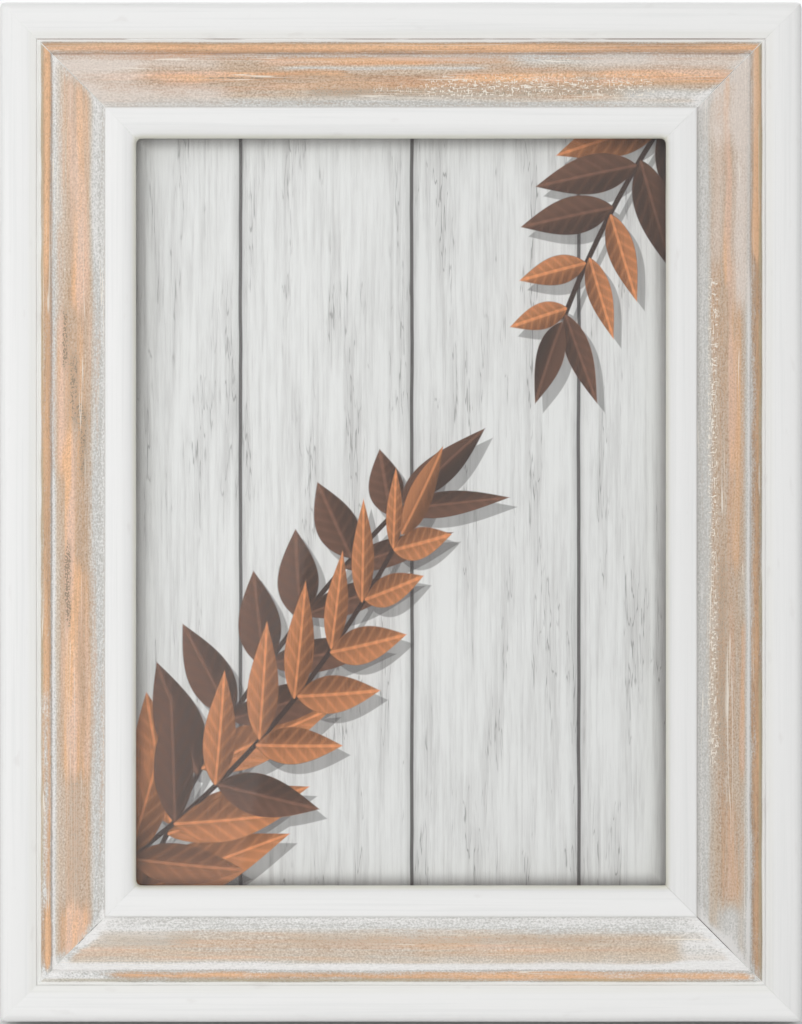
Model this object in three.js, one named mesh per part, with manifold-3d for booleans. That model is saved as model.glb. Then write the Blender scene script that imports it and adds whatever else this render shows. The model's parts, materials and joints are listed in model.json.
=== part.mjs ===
// Wooden picture frame for one portrait photograph, standing on the easel strut of its back.
// Millimetres, +Z up. The picture faces -Y and leans back; the origin is under the middle of the frame,
// on the surface that it stands on.
//
// Everything but the last lines is built upright, in the frame's own space: X to the right as seen from
// the front, Y from the front to the back with the rails' back faces at 0, Z up from the bottom edge.

import * as THREE from "three";
import { mergeVertices, toCreasedNormals } from "three/addons/utils/BufferGeometryUtils.js";
import Module from "manifold-3d";

const wasm = await Module();
wasm.setup();

// Clearances
const FIT = 0.3; // between pieces that touch
const GLUE_LINE = 0.1; // between the two faces of a mitre
const PASS = 0.5; // between edges that move past each other

// Picture and the sheets that lie in the rebate with it
const PHOTO_WIDTH = 130;
const PHOTO_HEIGHT = 180;
const PHOTO_COVER = 4; // how far the rails lap over the photograph
const SHEET_PLAY = 0.5; // between the sheets' edges and the rebate
const GLASS = 2;
const GLASS_SEAM = 0.3; // ground edge of the glass
const PRINT = 0.3;
const PANEL = 3;

// Members of the moulding from the outer edge to the picture, and their heights over the back face
const RIM_WIDTH = 8.4;
const QUIRK_WIDTH = 0.8;
const BEAD_WIDTH = 2.6;
const FIELD_WIDTH = 12.2;
const BAND_WIDTH = 7;
const RIM_CREST = 17.5;
const RIM_ROUND = 1.9; // radius of the outer edge
const RIM_BREAK = 5.2; // from the outer edge to where the rim begins to fall
const RIM_FALL = 1.1; // fall of the rim towards the quirk
const QUIRK_DEPTH = 0.9; // under the rim's inner edge
const BEAD_RISE = 1.2; // bead over the quirk
const FIELD_DROP = 2.2; // fall of the field from the bead to the band
const FIELD_CROWN = 0.8; // swell of the field over a straight line
const BAND_STEP = 1.2; // band over the field's inner edge
const BAND_ARRIS = 0.5; // eased edge of that step
const BAND_ROLL = 4.2; // width of the band's roll to the picture
const BAND_ROLL_DROP = 3.2;

// V-nails across the mitres
const V_NAIL_FROM_EDGE = 7; // outer nail's bend from both outer edges
const V_NAIL_FROM_REBATE = 9.5; // inner nail's bend from both rebate walls
const V_NAIL_LEG = 5;
const V_NAIL_DEPTH = 7;
const V_NAIL_SHEET = 0.6;
const V_NAIL_SINK = 0.2; // under the back face

// Turn buttons and their screws on the side rails
const BUTTON_FROM_END = 35; // from the panel's ends to the screws
const BUTTON_SETBACK = 7; // from the rebate to the screw
const BUTTON_HUB = 4.2; // radius
const BUTTON_TIP = 2.6; // radius
const BUTTON_REACH = 11; // from the screw to the tip's centre
const BUTTON_SHEET = 0.9;
const SCREW_SHANK = 1.3; // radius
const SCREW_HEAD = 2.7; // radius
const SCREW_HEAD_HEIGHT = 1.5;
const SCREW_LENGTH = 9; // in the wood
const SCREW_POINT = 2.5;
const SCREW_SLOT = { length: 3, width: 0.7, depth: 0.8 };

// Easel strut and its hinge
const PIN_DROP = 65; // from the panel's top edge to the hinge pin
const FOOT_RISE = 2; // folded strut's foot over the bottom edge
const STRUT_OPEN_DEGREES = 30;
const STRUT_TOP_WIDTH = 32;
const STRUT_FOOT_WIDTH = 50;
const STRUT_SHOULDER = 7; // radius of the top corners
const STRUT_THICKNESS = 3;
const STRUT_CLOSED_GAP = 0.4; // to the panel when folded in
const HINGE_SHEET = 0.8;
const BASE_KNUCKLE = 5;
const LEAF_KNUCKLE = 4.5;
const STOP_WIDTH = 6;
const BASE_HEIGHT = 20; // over the pin
const BASE_CORNER = 5;
const BASE_RIVET_INSET = 6.5; // from the base's sides and top
const LEAF_LENGTH = 27; // under the pin
const LEAF_END_WIDTH = 12;
const LEAF_RIVET_INSET = 7; // from both ends of the leaf
const PIN_HEAD = 0.6; // thickness of its two heads

// Rivets
const RIVET_SHANK = 1.2; // radius
const RIVET_HEAD = 2.4; // radius
const RIVET_HEAD_HEIGHT = 0.9;
const RIVET_TAIL = 2; // radius
const RIVET_TAIL_THICKNESS = 0.7;
const RIVET_TAIL_SINK = 0.2; // under the board's inner face

// Hanger at the top of the panel
const HANGER_DROP = 12; // from the panel's top edge to the ring's bar
const STRAP_WIDTH = 8;
const STRAP_LENGTH = 13; // under the ring's bar
const STRAP_SHEET = 0.7;
const STRAP_RIVET_INSET = 5; // from the strap's end
const RING_WIRE = 0.8; // radius
const RING_SHOULDER = 5.5; // from the strap's sides to the corners of the ring
const RING_HEIGHT = 17;
const RING_BEND = 3; // from a corner to where its bend begins

// Smoothness of round forms
const CURVE_STEPS = 7;
const TURNED_SIDES = 20;
const RING_STEPS = 54;
const RING_SIDES = 8;
const DOME_STEPS = 4;
const CREASE = Math.PI / 6; // faces that meet at more than this show an edge

// Sizes that follow from those above
const mouldingWidth = RIM_WIDTH + QUIRK_WIDTH + BEAD_WIDTH + FIELD_WIDTH + BAND_WIDTH;
const sightWidth = PHOTO_WIDTH - 2 * PHOTO_COVER;
const sightHeight = PHOTO_HEIGHT - 2 * PHOTO_COVER;
const frameWidth = sightWidth + 2 * mouldingWidth;
const frameHeight = sightHeight + 2 * mouldingWidth;
const rebateWall = mouldingWidth - PHOTO_COVER - SHEET_PLAY; // from the outer edge
const rebateDepth = PANEL + FIT + PRINT + FIT + GLASS + FIT;
const panelTop = (frameHeight + PHOTO_HEIGHT) / 2;
const vNailInsets = { outer: V_NAIL_FROM_EDGE, inner: rebateWall - V_NAIL_FROM_REBATE };
const strutOpen = THREE.MathUtils.degToRad(STRUT_OPEN_DEGREES);
const pinHeight = panelTop - PIN_DROP; // over the bottom edge
const strutLength = pinHeight - FOOT_RISE; // from the pin to the middle of the foot
const knuckleBore = (STRUT_CLOSED_GAP + STRUT_THICKNESS - HINGE_SHEET) / 2; // radius
const knuckleOuter = knuckleBore + HINGE_SHEET;
const pinRadius = knuckleBore - FIT;
const pinStandoff = FIT + knuckleOuter; // pin's axis behind the panel
const edgePass = knuckleOuter + PASS; // pin's axis to the edges that pass it
const hingeWidth = 2 * (BASE_KNUCKLE + LEAF_KNUCKLE) + STOP_WIDTH + 4 * PASS;
const strapBore = RING_WIRE + FIT; // radius
const strapOuter = strapBore + STRAP_SHEET;
const ringStandoff = FIT + strapOuter; // ring's bar behind the panel
const barHeight = panelTop - HANGER_DROP; // ring's bar over the bottom edge
const strapRivetDrop = STRAP_LENGTH - STRAP_RIVET_INSET; // under the ring's bar
const ringWidth = STRAP_WIDTH + 2 * RING_SHOULDER;

// Foot of the open strut in the frame's own space, and the lean that puts it level with the bottom edge
const strutOuter = knuckleBore - FIT; // strut's outer face from the pin's axis
const strutInner = strutOuter - STRUT_THICKNESS;
const strutMiddle = (strutOuter + strutInner) / 2;
const footBehind = pinStandoff + strutMiddle * Math.cos(strutOpen) + strutLength * Math.sin(strutOpen);
const footOver = pinHeight + strutMiddle * Math.sin(strutOpen) - strutLength * Math.cos(strutOpen);
const lean = Math.atan2(footOver, footBehind);

const paintedWood = new THREE.MeshStandardMaterial({ color: 0xe4ddd3, roughness: 0.7, metalness: 0 });
const clearGlass = new THREE.MeshStandardMaterial({ color: 0xeef4f2, roughness: 0.05, metalness: 0 });
const printPaper = new THREE.MeshStandardMaterial({ color: 0xdcd9d4, roughness: 0.6, metalness: 0 });
const board = new THREE.MeshStandardMaterial({ color: 0x3a3734, roughness: 0.8, metalness: 0 });
const zincSteel = new THREE.MeshStandardMaterial({ color: 0xb9bcbf, roughness: 0.35, metalness: 1 });

function namedMesh(name, geometry, material) {
  const mesh = new THREE.Mesh(geometry, material);
  mesh.name = name;
  return mesh;
}

// Solids for joining and cutting

function toSolid(geometry) {
  const bare = geometry.clone();
  bare.deleteAttribute("normal");
  bare.deleteAttribute("uv");
  const merged = mergeVertices(bare);
  const corners = merged.index.array;
  const triVerts = [];
  for (let i = 0; i < corners.length; i += 3) {
    const [a, b, c] = corners.slice(i, i + 3);
    const flat = a === b || b === c || c === a;
    if (!flat) triVerts.push(a, b, c);
  }
  return new wasm.Manifold(
    new wasm.Mesh({
      numProp: 3,
      vertProperties: Float32Array.from(merged.attributes.position.array),
      triVerts: Uint32Array.from(triVerts),
    }),
  );
}

function toGeometry(solid) {
  const { vertProperties, triVerts } = solid.getMesh();
  const geometry = new THREE.BufferGeometry();
  geometry.setAttribute("position", new THREE.BufferAttribute(vertProperties, 3));
  geometry.setIndex(new THREE.BufferAttribute(triVerts, 1));
  return toCreasedNormals(geometry, CREASE);
}

function cut(geometry, tools) {
  let solid = toSolid(geometry);
  for (const tool of tools) {
    solid = solid.subtract(toSolid(tool));
  }
  return toGeometry(solid);
}

function join(geometries) {
  const [first, ...others] = geometries.map(toSolid);
  return toGeometry(others.reduce((sum, solid) => sum.add(solid), first));
}

// An outline drawn across X and up Z, as a plate whose rear face lies at the given Y.
function plate(outline, thickness, rear) {
  const geometry = new THREE.ExtrudeGeometry(outline, {
    depth: thickness,
    bevelEnabled: false,
    curveSegments: CURVE_STEPS,
  });
  return geometry.rotateX(Math.PI / 2).translate(0, rear, 0);
}

// A section drawn across Y and up Z, as a bar along X.
function barAlongX(section, from, to) {
  const geometry = new THREE.ExtrudeGeometry(section, {
    depth: to - from,
    bevelEnabled: false,
    curveSegments: CURVE_STEPS,
  });
  const alongX = new THREE.Matrix4().makeBasis(
    new THREE.Vector3(0, 1, 0),
    new THREE.Vector3(0, 0, 1),
    new THREE.Vector3(1, 0, 0),
  );
  return geometry.applyMatrix4(alongX).translate(from, 0, 0);
}

// A profile of radius and height, turned about the Y axis.
function turned(profile) {
  const points = profile.map(([radius, height]) => new THREE.Vector2(radius, height));
  return new THREE.LatheGeometry(points, TURNED_SIDES);
}

function dome(radius, base, height) {
  const points = [];
  for (let i = 0; i <= DOME_STEPS; i++) {
    const angle = ((i / DOME_STEPS) * Math.PI) / 2;
    const reach = i === DOME_STEPS ? 0 : radius * Math.cos(angle);
    points.push([reach, base + height * Math.sin(angle)]);
  }
  return points;
}

function roundedOutline(corners, bends) {
  const outline = new THREE.Shape();
  corners.forEach((corner, i) => {
    const before = corners[(i + corners.length - 1) % corners.length];
    const after = corners[(i + 1) % corners.length];
    const start = corner.clone().add(before.clone().sub(corner).setLength(bends[i]));
    const end = corner.clone().add(after.clone().sub(corner).setLength(bends[i]));
    if (i === 0) {
      outline.moveTo(start.x, start.y);
    } else {
      outline.lineTo(start.x, start.y);
    }
    if (bends[i] > 0) outline.quadraticCurveTo(corner.x, corner.y, end.x, end.y);
  });
  outline.closePath();
  return outline;
}

function rectangle(width, height) {
  return new THREE.Shape()
    .moveTo(-width / 2, -height / 2)
    .lineTo(width / 2, -height / 2)
    .lineTo(width / 2, height / 2)
    .lineTo(-width / 2, height / 2)
    .closePath();
}

// Rails

// Section of the moulding: distance from the outer edge, and height over the back face.
function mouldingSection() {
  const rimEdge = RIM_CREST - RIM_FALL;
  const quirk = rimEdge - QUIRK_DEPTH;
  const beadStart = RIM_WIDTH + QUIRK_WIDTH;
  const beadMiddle = beadStart + BEAD_WIDTH / 2;
  const beadEnd = beadStart + BEAD_WIDTH;
  const bandStart = beadEnd + FIELD_WIDTH;
  const fieldEnd = quirk - FIELD_DROP;
  const bandCrest = fieldEnd + BAND_STEP;
  const rollStart = mouldingWidth - BAND_ROLL;
  const sightEdge = bandCrest - BAND_ROLL_DROP;
  const fieldMiddle = (beadEnd + bandStart) / 2;
  const fieldSwell = (quirk + fieldEnd) / 2 + 2 * FIELD_CROWN;
  const section = new THREE.Shape();
  section.moveTo(0, 0);
  section.lineTo(rebateWall, 0);
  section.lineTo(rebateWall, rebateDepth);
  section.lineTo(mouldingWidth, rebateDepth);
  section.lineTo(mouldingWidth, sightEdge);
  section.absellipse(rollStart, sightEdge, BAND_ROLL, BAND_ROLL_DROP, 0, Math.PI / 2, false, 0);
  section.lineTo(bandStart + BAND_ARRIS, bandCrest);
  section.quadraticCurveTo(bandStart, bandCrest, bandStart, bandCrest - BAND_ARRIS);
  section.lineTo(bandStart, fieldEnd);
  section.quadraticCurveTo(fieldMiddle, fieldSwell, beadEnd, quirk);
  section.absellipse(beadMiddle, quirk, BEAD_WIDTH / 2, BEAD_RISE, 0, Math.PI, false, 0);
  section.lineTo(RIM_WIDTH, quirk);
  section.lineTo(RIM_WIDTH, rimEdge);
  section.quadraticCurveTo(RIM_BREAK, RIM_CREST, RIM_ROUND, RIM_CREST);
  section.absarc(RIM_ROUND, RIM_CREST - RIM_ROUND, RIM_ROUND, Math.PI / 2, Math.PI, false);
  section.closePath();
  return section;
}

// A rail lies along X with its outer edge on the X axis; its ends are slid to 45 degrees.
function mitredRail(length) {
  const geometry = new THREE.ExtrudeGeometry(mouldingSection(), {
    depth: length,
    bevelEnabled: false,
    curveSegments: CURVE_STEPS,
  });
  const position = geometry.attributes.position;
  for (let i = 0; i < position.count; i++) {
    const slide = position.getX(i) + GLUE_LINE / Math.SQRT2;
    const atStart = position.getZ(i) < length / 2;
    position.setZ(i, atStart ? slide : length - slide);
  }
  const lieAlongX = new THREE.Matrix4().makeBasis(
    new THREE.Vector3(0, 0, 1),
    new THREE.Vector3(0, -1, 0),
    new THREE.Vector3(1, 0, 0),
  );
  return geometry.applyMatrix4(lieAlongX).translate(-length / 2, 0, 0);
}

// The V lies in the back of a corner, with its legs along the two rails and its bend on the mitre.
function vNail(grow, rear, depth) {
  const half = V_NAIL_SHEET / 2 + grow;
  const leg = V_NAIL_LEG + grow;
  const outline = new THREE.Shape()
    .moveTo(-half, -half)
    .lineTo(leg, -half)
    .lineTo(leg, half)
    .lineTo(half, half)
    .lineTo(half, leg)
    .lineTo(-half, leg)
    .closePath();
  return plate(outline, depth, rear);
}

function vNailSlots(length) {
  const slots = [];
  const depth = FIT + V_NAIL_SINK + V_NAIL_DEPTH + FIT;
  for (const inset of Object.values(vNailInsets)) {
    const start = vNail(FIT, FIT, depth).translate(inset - length / 2, 0, inset);
    const end = vNail(FIT, FIT, depth).rotateY(-Math.PI / 2).translate(length / 2 - inset, 0, inset);
    slots.push(start, end);
  }
  return slots;
}

function screwHole(along, across) {
  const hole = turned([
    [0, -SCREW_LENGTH - FIT],
    [SCREW_SHANK + FIT, -SCREW_LENGTH - FIT],
    [SCREW_SHANK + FIT, FIT],
    [0, FIT],
  ]);
  return hole.translate(along, 0, across);
}

function turnButton() {
  const slant = Math.asin((BUTTON_HUB - BUTTON_TIP) / BUTTON_REACH);
  const outline = new THREE.Shape();
  outline.absarc(0, 0, BUTTON_HUB, Math.PI - slant, 2 * Math.PI + slant, false);
  outline.absarc(0, BUTTON_REACH, BUTTON_TIP, slant, Math.PI - slant, false);
  outline.closePath();
  const hole = new THREE.Path().absarc(0, 0, SCREW_SHANK + FIT, 0, 2 * Math.PI, true);
  outline.holes.push(hole);
  return plate(outline, BUTTON_SHEET, FIT + BUTTON_SHEET);
}

function buttonScrew() {
  const headSeat = FIT + BUTTON_SHEET + FIT;
  const body = turned([
    [0, -SCREW_LENGTH],
    [SCREW_SHANK, SCREW_POINT - SCREW_LENGTH],
    [SCREW_SHANK, headSeat],
    ...dome(SCREW_HEAD, headSeat, SCREW_HEAD_HEIGHT),
  ]);
  const { length, width, depth } = SCREW_SLOT;
  const headTop = headSeat + SCREW_HEAD_HEIGHT;
  const slots = [0, Math.PI / 2].map((turn) => {
    const slot = new THREE.BoxGeometry(length, 2 * depth, width);
    return slot.rotateY(turn + Math.PI / 4).translate(0, headTop, 0);
  });
  return cut(body, slots);
}

// One rail with the turn buttons that it carries, given as places along it.
function rail(side, length, buttons) {
  const group = new THREE.Group();
  const buttonAcross = rebateWall - BUTTON_SETBACK;
  const holes = Object.values(buttons).map((along) => screwHole(along, buttonAcross));
  const wood = cut(mitredRail(length), [...vNailSlots(length), ...holes]);
  group.add(namedMesh(`${side}_rail`, wood, paintedWood));
  for (const [level, along] of Object.entries(buttons)) {
    const button = namedMesh(`${side}_${level}_turn_button`, turnButton(), zincSteel);
    const screw = namedMesh(`${side}_${level}_button_screw`, buttonScrew(), zincSteel);
    for (const mesh of [button, screw]) {
      mesh.position.set(along, 0, buttonAcross);
      group.add(mesh);
    }
  }
  return group;
}

function rails() {
  const group = new THREE.Group();
  const middle = frameHeight / 2;
  const away = PHOTO_HEIGHT / 2 - BUTTON_FROM_END;
  const sides = [
    ["bottom", frameWidth, {}, 0, 0, 0],
    ["right", frameHeight, { lower: -away, upper: away }, -Math.PI / 2, frameWidth / 2, middle],
    ["top", frameWidth, {}, Math.PI, 0, frameHeight],
    ["left", frameHeight, { lower: away, upper: -away }, Math.PI / 2, -frameWidth / 2, middle],
  ];
  for (const [side, length, buttons, turn, x, z] of sides) {
    const placed = rail(side, length, buttons);
    placed.rotation.y = turn;
    placed.position.set(x, 0, z);
    group.add(placed);
  }
  return group;
}

function cornerNails() {
  const group = new THREE.Group();
  const corners = [
    ["bottom_left", 0, -frameWidth / 2, 0],
    ["bottom_right", -Math.PI / 2, frameWidth / 2, 0],
    ["top_right", Math.PI, frameWidth / 2, frameHeight],
    ["top_left", Math.PI / 2, -frameWidth / 2, frameHeight],
  ];
  for (const [corner, turn, x, z] of corners) {
    const placed = new THREE.Group();
    for (const [order, inset] of Object.entries(vNailInsets)) {
      const nail = vNail(0, -V_NAIL_SINK, V_NAIL_DEPTH).translate(inset, 0, inset);
      placed.add(namedMesh(`${corner}_${order}_v_nail`, nail, zincSteel));
    }
    placed.rotation.y = turn;
    placed.position.set(x, 0, z);
    group.add(placed);
  }
  return group;
}

// Rivets, along Y with the head to the rear. The board's inner face is at Y = inner, and the sheet that
// the rivet holds has its outer face at Y = outer.

function rivet(inner, outer) {
  const tailEnd = inner + RIVET_TAIL_SINK;
  const tailTop = tailEnd + RIVET_TAIL_THICKNESS;
  const headSeat = outer + FIT;
  return turned([
    [0, tailEnd],
    [RIVET_TAIL, tailEnd],
    [RIVET_TAIL, tailTop],
    [RIVET_SHANK, tailTop],
    [RIVET_SHANK, headSeat],
    ...dome(RIVET_HEAD, headSeat, RIVET_HEAD_HEIGHT),
  ]);
}

function rivetHole(inner, outer) {
  const tailTop = inner + RIVET_TAIL_SINK + RIVET_TAIL_THICKNESS + FIT;
  return turned([
    [0, inner - FIT],
    [RIVET_TAIL + FIT, inner - FIT],
    [RIVET_TAIL + FIT, tailTop],
    [RIVET_SHANK + FIT, tailTop],
    [RIVET_SHANK + FIT, outer + FIT],
    [0, outer + FIT],
  ]);
}

// Section of sheet metal rolled round a bore at the origin: the sheet runs up from it on its front side.
function rolledSection(bore, sheet, tail) {
  const outer = bore + sheet;
  const section = new THREE.Shape();
  section.moveTo(-outer, tail);
  section.lineTo(-outer, 0);
  section.absarc(0, 0, outer, Math.PI, 2.5 * Math.PI, false);
  section.absarc(0, 0, bore, 2.5 * Math.PI, Math.PI, true);
  section.lineTo(-bore, tail);
  section.closePath();
  return section;
}

// Hinge of the strut, about an axis along X at the origin, with the strut folded in.

const baseRivets = [-1, 1].map((side) => [
  side * (hingeWidth / 2 - BASE_RIVET_INSET),
  BASE_HEIGHT - BASE_RIVET_INSET,
]);
const leafRivets = [edgePass + LEAF_RIVET_INSET, LEAF_LENGTH - LEAF_RIVET_INSET].map((down) => [0, -down]);
const knuckleTail = edgePass + HINGE_SHEET; // the rolled ends lap this far into their plates
const leafEdge = STOP_WIDTH / 2 + PASS;
const baseEdge = leafEdge + LEAF_KNUCKLE + PASS;

function hingeBase() {
  const half = hingeWidth / 2;
  const outline = roundedOutline(
    [
      new THREE.Vector2(-half, edgePass),
      new THREE.Vector2(half, edgePass),
      new THREE.Vector2(half, BASE_HEIGHT),
      new THREE.Vector2(-half, BASE_HEIGHT),
    ],
    [0, 0, BASE_CORNER, BASE_CORNER],
  );
  const section = rolledSection(knuckleBore, HINGE_SHEET, knuckleTail);
  const joined = join([
    plate(outline, HINGE_SHEET, -knuckleBore),
    barAlongX(section, -baseEdge - BASE_KNUCKLE, -baseEdge),
    barAlongX(section, baseEdge, baseEdge + BASE_KNUCKLE),
  ]);
  const holes = baseRivets.map(([x, z]) =>
    rivetHole(-pinStandoff - PANEL, -knuckleBore).translate(x, 0, z),
  );
  return cut(joined, holes);
}

// The stop tongue stands up from the leaf, and meets the base plate when the strut is fully open.
const stopReach = (knuckleBore * Math.cos(strutOpen) + knuckleBore - FIT) / Math.sin(strutOpen);

function hingeLeaf() {
  const half = leafEdge + LEAF_KNUCKLE;
  const outline = roundedOutline(
    [
      new THREE.Vector2(half, -edgePass),
      new THREE.Vector2(-half, -edgePass),
      new THREE.Vector2(-LEAF_END_WIDTH / 2, -LEAF_LENGTH),
      new THREE.Vector2(LEAF_END_WIDTH / 2, -LEAF_LENGTH),
    ],
    [0, 0, LEAF_END_WIDTH / 4, LEAF_END_WIDTH / 4],
  );
  const tongueHeight = stopReach + knuckleTail;
  const tongue = rectangle(STOP_WIDTH, tongueHeight);
  const section = rolledSection(knuckleBore, HINGE_SHEET, knuckleTail);
  const knuckle = () => barAlongX(section, leafEdge, leafEdge + LEAF_KNUCKLE).rotateX(Math.PI);
  const joined = join([
    plate(outline, HINGE_SHEET, knuckleOuter),
    plate(tongue, HINGE_SHEET, knuckleOuter).translate(0, 0, stopReach - tongueHeight / 2),
    knuckle(),
    knuckle().translate(-2 * leafEdge - LEAF_KNUCKLE, 0, 0),
  ]);
  const holes = leafRivets.map(([x, z]) => rivetHole(strutInner, knuckleOuter).translate(x, 0, z));
  return cut(joined, holes);
}

function hingePin() {
  const end = hingeWidth / 2 + FIT;
  const pin = turned([
    [0, -end - PIN_HEAD],
    [pinRadius, -end - PIN_HEAD],
    [knuckleOuter - FIT, -end],
    [pinRadius, -end],
    [pinRadius, end],
    [knuckleOuter - FIT, end],
    [pinRadius, end + PIN_HEAD],
    [0, end + PIN_HEAD],
  ]);
  return pin.rotateZ(-Math.PI / 2);
}

// The strut widens from its shoulders to a foot that is cut level with the surface it stands on.
function easelStrut() {
  const longEnough = strutLength + STRUT_THICKNESS;
  const flare = (STRUT_FOOT_WIDTH - STRUT_TOP_WIDTH) / 2 / (strutLength - edgePass);
  const endHalf = STRUT_TOP_WIDTH / 2 + flare * (longEnough - edgePass);
  const outline = roundedOutline(
    [
      new THREE.Vector2(-endHalf, -longEnough),
      new THREE.Vector2(endHalf, -longEnough),
      new THREE.Vector2(STRUT_TOP_WIDTH / 2, -edgePass),
      new THREE.Vector2(-STRUT_TOP_WIDTH / 2, -edgePass),
    ],
    [0, 0, STRUT_SHOULDER, STRUT_SHOULDER],
  );
  const blank = plate(outline, STRUT_THICKNESS, strutOuter);
  const ground = new THREE.BoxGeometry(2 * STRUT_FOOT_WIDTH, strutLength, strutLength);
  ground.translate(0, 0, -strutLength / 2);
  ground.rotateX(lean - strutOpen);
  ground.translate(0, strutMiddle, -strutLength);
  const holes = leafRivets.map(([x, z]) => rivetHole(strutInner, knuckleOuter).translate(x, 0, z));
  return cut(blank, [ground, ...holes]);
}

function easel() {
  const group = new THREE.Group();
  group.position.set(0, pinStandoff, pinHeight);
  group.add(namedMesh("hinge_base", hingeBase(), zincSteel));
  group.add(namedMesh("hinge_pin", hingePin(), zincSteel));
  baseRivets.forEach(([x, z], i) => {
    const mesh = namedMesh(`base_rivet_${i + 1}`, rivet(-pinStandoff - PANEL, -knuckleBore), zincSteel);
    mesh.position.set(x, 0, z);
    group.add(mesh);
  });
  const swung = new THREE.Group();
  swung.rotation.x = strutOpen;
  swung.add(namedMesh("easel_strut", easelStrut(), board));
  swung.add(namedMesh("hinge_leaf", hingeLeaf(), zincSteel));
  leafRivets.forEach(([x, z], i) => {
    const mesh = namedMesh(`strut_rivet_${i + 1}`, rivet(strutInner, knuckleOuter), zincSteel);
    mesh.position.set(x, 0, z);
    swung.add(mesh);
  });
  group.add(swung);
  return group;
}

// Hanger: the strap is rolled round the bar of a triangular wire ring, which hangs plumb.

class WireRing extends THREE.Curve {
  constructor(outline) {
    super();
    this.outline = outline;
  }

  getPoint(t, target = new THREE.Vector3()) {
    const point = this.outline.getPoint(t);
    return target.set(point.x, 0, point.y);
  }
}

function hangerRing() {
  const half = ringWidth / 2;
  const outline = roundedOutline(
    [
      new THREE.Vector2(-half, 0),
      new THREE.Vector2(half, 0),
      new THREE.Vector2(0, -RING_HEIGHT),
    ],
    [RING_BEND, RING_BEND, RING_BEND],
  );
  const closed = true;
  return new THREE.TubeGeometry(new WireRing(outline), RING_STEPS, RING_WIRE, RING_SIDES, closed);
}

function hangerStrap() {
  const section = rolledSection(strapBore, STRAP_SHEET, STRAP_LENGTH);
  const rolled = barAlongX(section, -STRAP_WIDTH / 2, STRAP_WIDTH / 2);
  const hangingDown = rolled.rotateY(Math.PI);
  return cut(hangingDown, [strapRivetHole()]);
}

const strapInner = -ringStandoff - PANEL;

function strapRivetHole() {
  return rivetHole(strapInner, -strapBore).translate(0, 0, -strapRivetDrop);
}

function hanger() {
  const group = new THREE.Group();
  group.position.set(0, ringStandoff, barHeight);
  group.add(namedMesh("hanger_strap", hangerStrap(), zincSteel));
  const ring = namedMesh("hanger_ring", hangerRing(), zincSteel);
  ring.rotation.x = lean;
  group.add(ring);
  const fastener = namedMesh("hanger_rivet", rivet(strapInner, -strapBore), zincSteel);
  fastener.position.z = -strapRivetDrop;
  group.add(fastener);
  return group;
}

// Sheets in the rebate, from the front: glass, print, back panel

function glassPane() {
  const flat = rectangle(PHOTO_WIDTH - 2 * GLASS_SEAM, PHOTO_HEIGHT - 2 * GLASS_SEAM);
  const geometry = new THREE.ExtrudeGeometry(flat, {
    depth: GLASS - 2 * GLASS_SEAM,
    bevelThickness: GLASS_SEAM,
    bevelSize: GLASS_SEAM,
    bevelSegments: 1,
  });
  return geometry.rotateX(Math.PI / 2).translate(0, -GLASS_SEAM, 0);
}

function backPanel() {
  const blank = plate(rectangle(PHOTO_WIDTH, PHOTO_HEIGHT), PANEL, 0);
  const middle = frameHeight / 2;
  const baseHoles = baseRivets.map(([x, z]) =>
    rivetHole(-pinStandoff - PANEL, -knuckleBore).translate(x, pinStandoff, pinHeight + z - middle),
  );
  const strapHole = strapRivetHole().translate(0, ringStandoff, barHeight - middle);
  return cut(blank, [...baseHoles, strapHole]);
}

function sheets() {
  const group = new THREE.Group();
  group.position.z = frameHeight / 2;
  const printRear = -PANEL - FIT;
  const glass = namedMesh("glass_pane", glassPane(), clearGlass);
  glass.position.y = printRear - PRINT - FIT;
  const print = plate(rectangle(PHOTO_WIDTH, PHOTO_HEIGHT), PRINT, printRear);
  group.add(glass);
  group.add(namedMesh("print_insert", print, printPaper));
  group.add(namedMesh("back_panel", backPanel(), board));
  return group;
}

// The whole frame leans back on its bottom edge and its strut.
const leaning = new THREE.Group();
leaning.rotation.x = -lean;
leaning.add(rails(), cornerNails(), sheets(), easel(), hanger());

const pictureFrame = new THREE.Group();
pictureFrame.add(leaning);
pictureFrame.updateMatrixWorld(true);
const reach = new THREE.Box3().setFromObject(leaning, true);
leaning.position.set(0, -(reach.min.y + reach.max.y) / 2, -reach.min.z);

export default pictureFrame;
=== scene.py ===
"""Looks of a wooden picture frame: mitred rails in white paint that is rubbed back to the wood, glass,
print, board back on turn buttons, folding easel strut and ring hanger.

Pieces are modelled in the frame's upright space, in metres: X to the right as the picture is seen, Y from
the front to the back with the rails' back faces at 0, Z up from the bottom edge. LEANING then puts them
where the frame leans back on its strut.
"""

import json
import math

import bmesh
import bpy
from bpy.props import FloatProperty, FloatVectorProperty, PointerProperty
from bpy.types import Operator, Panel, PropertyGroup
from mathutils import Matrix, Vector, noise


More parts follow.
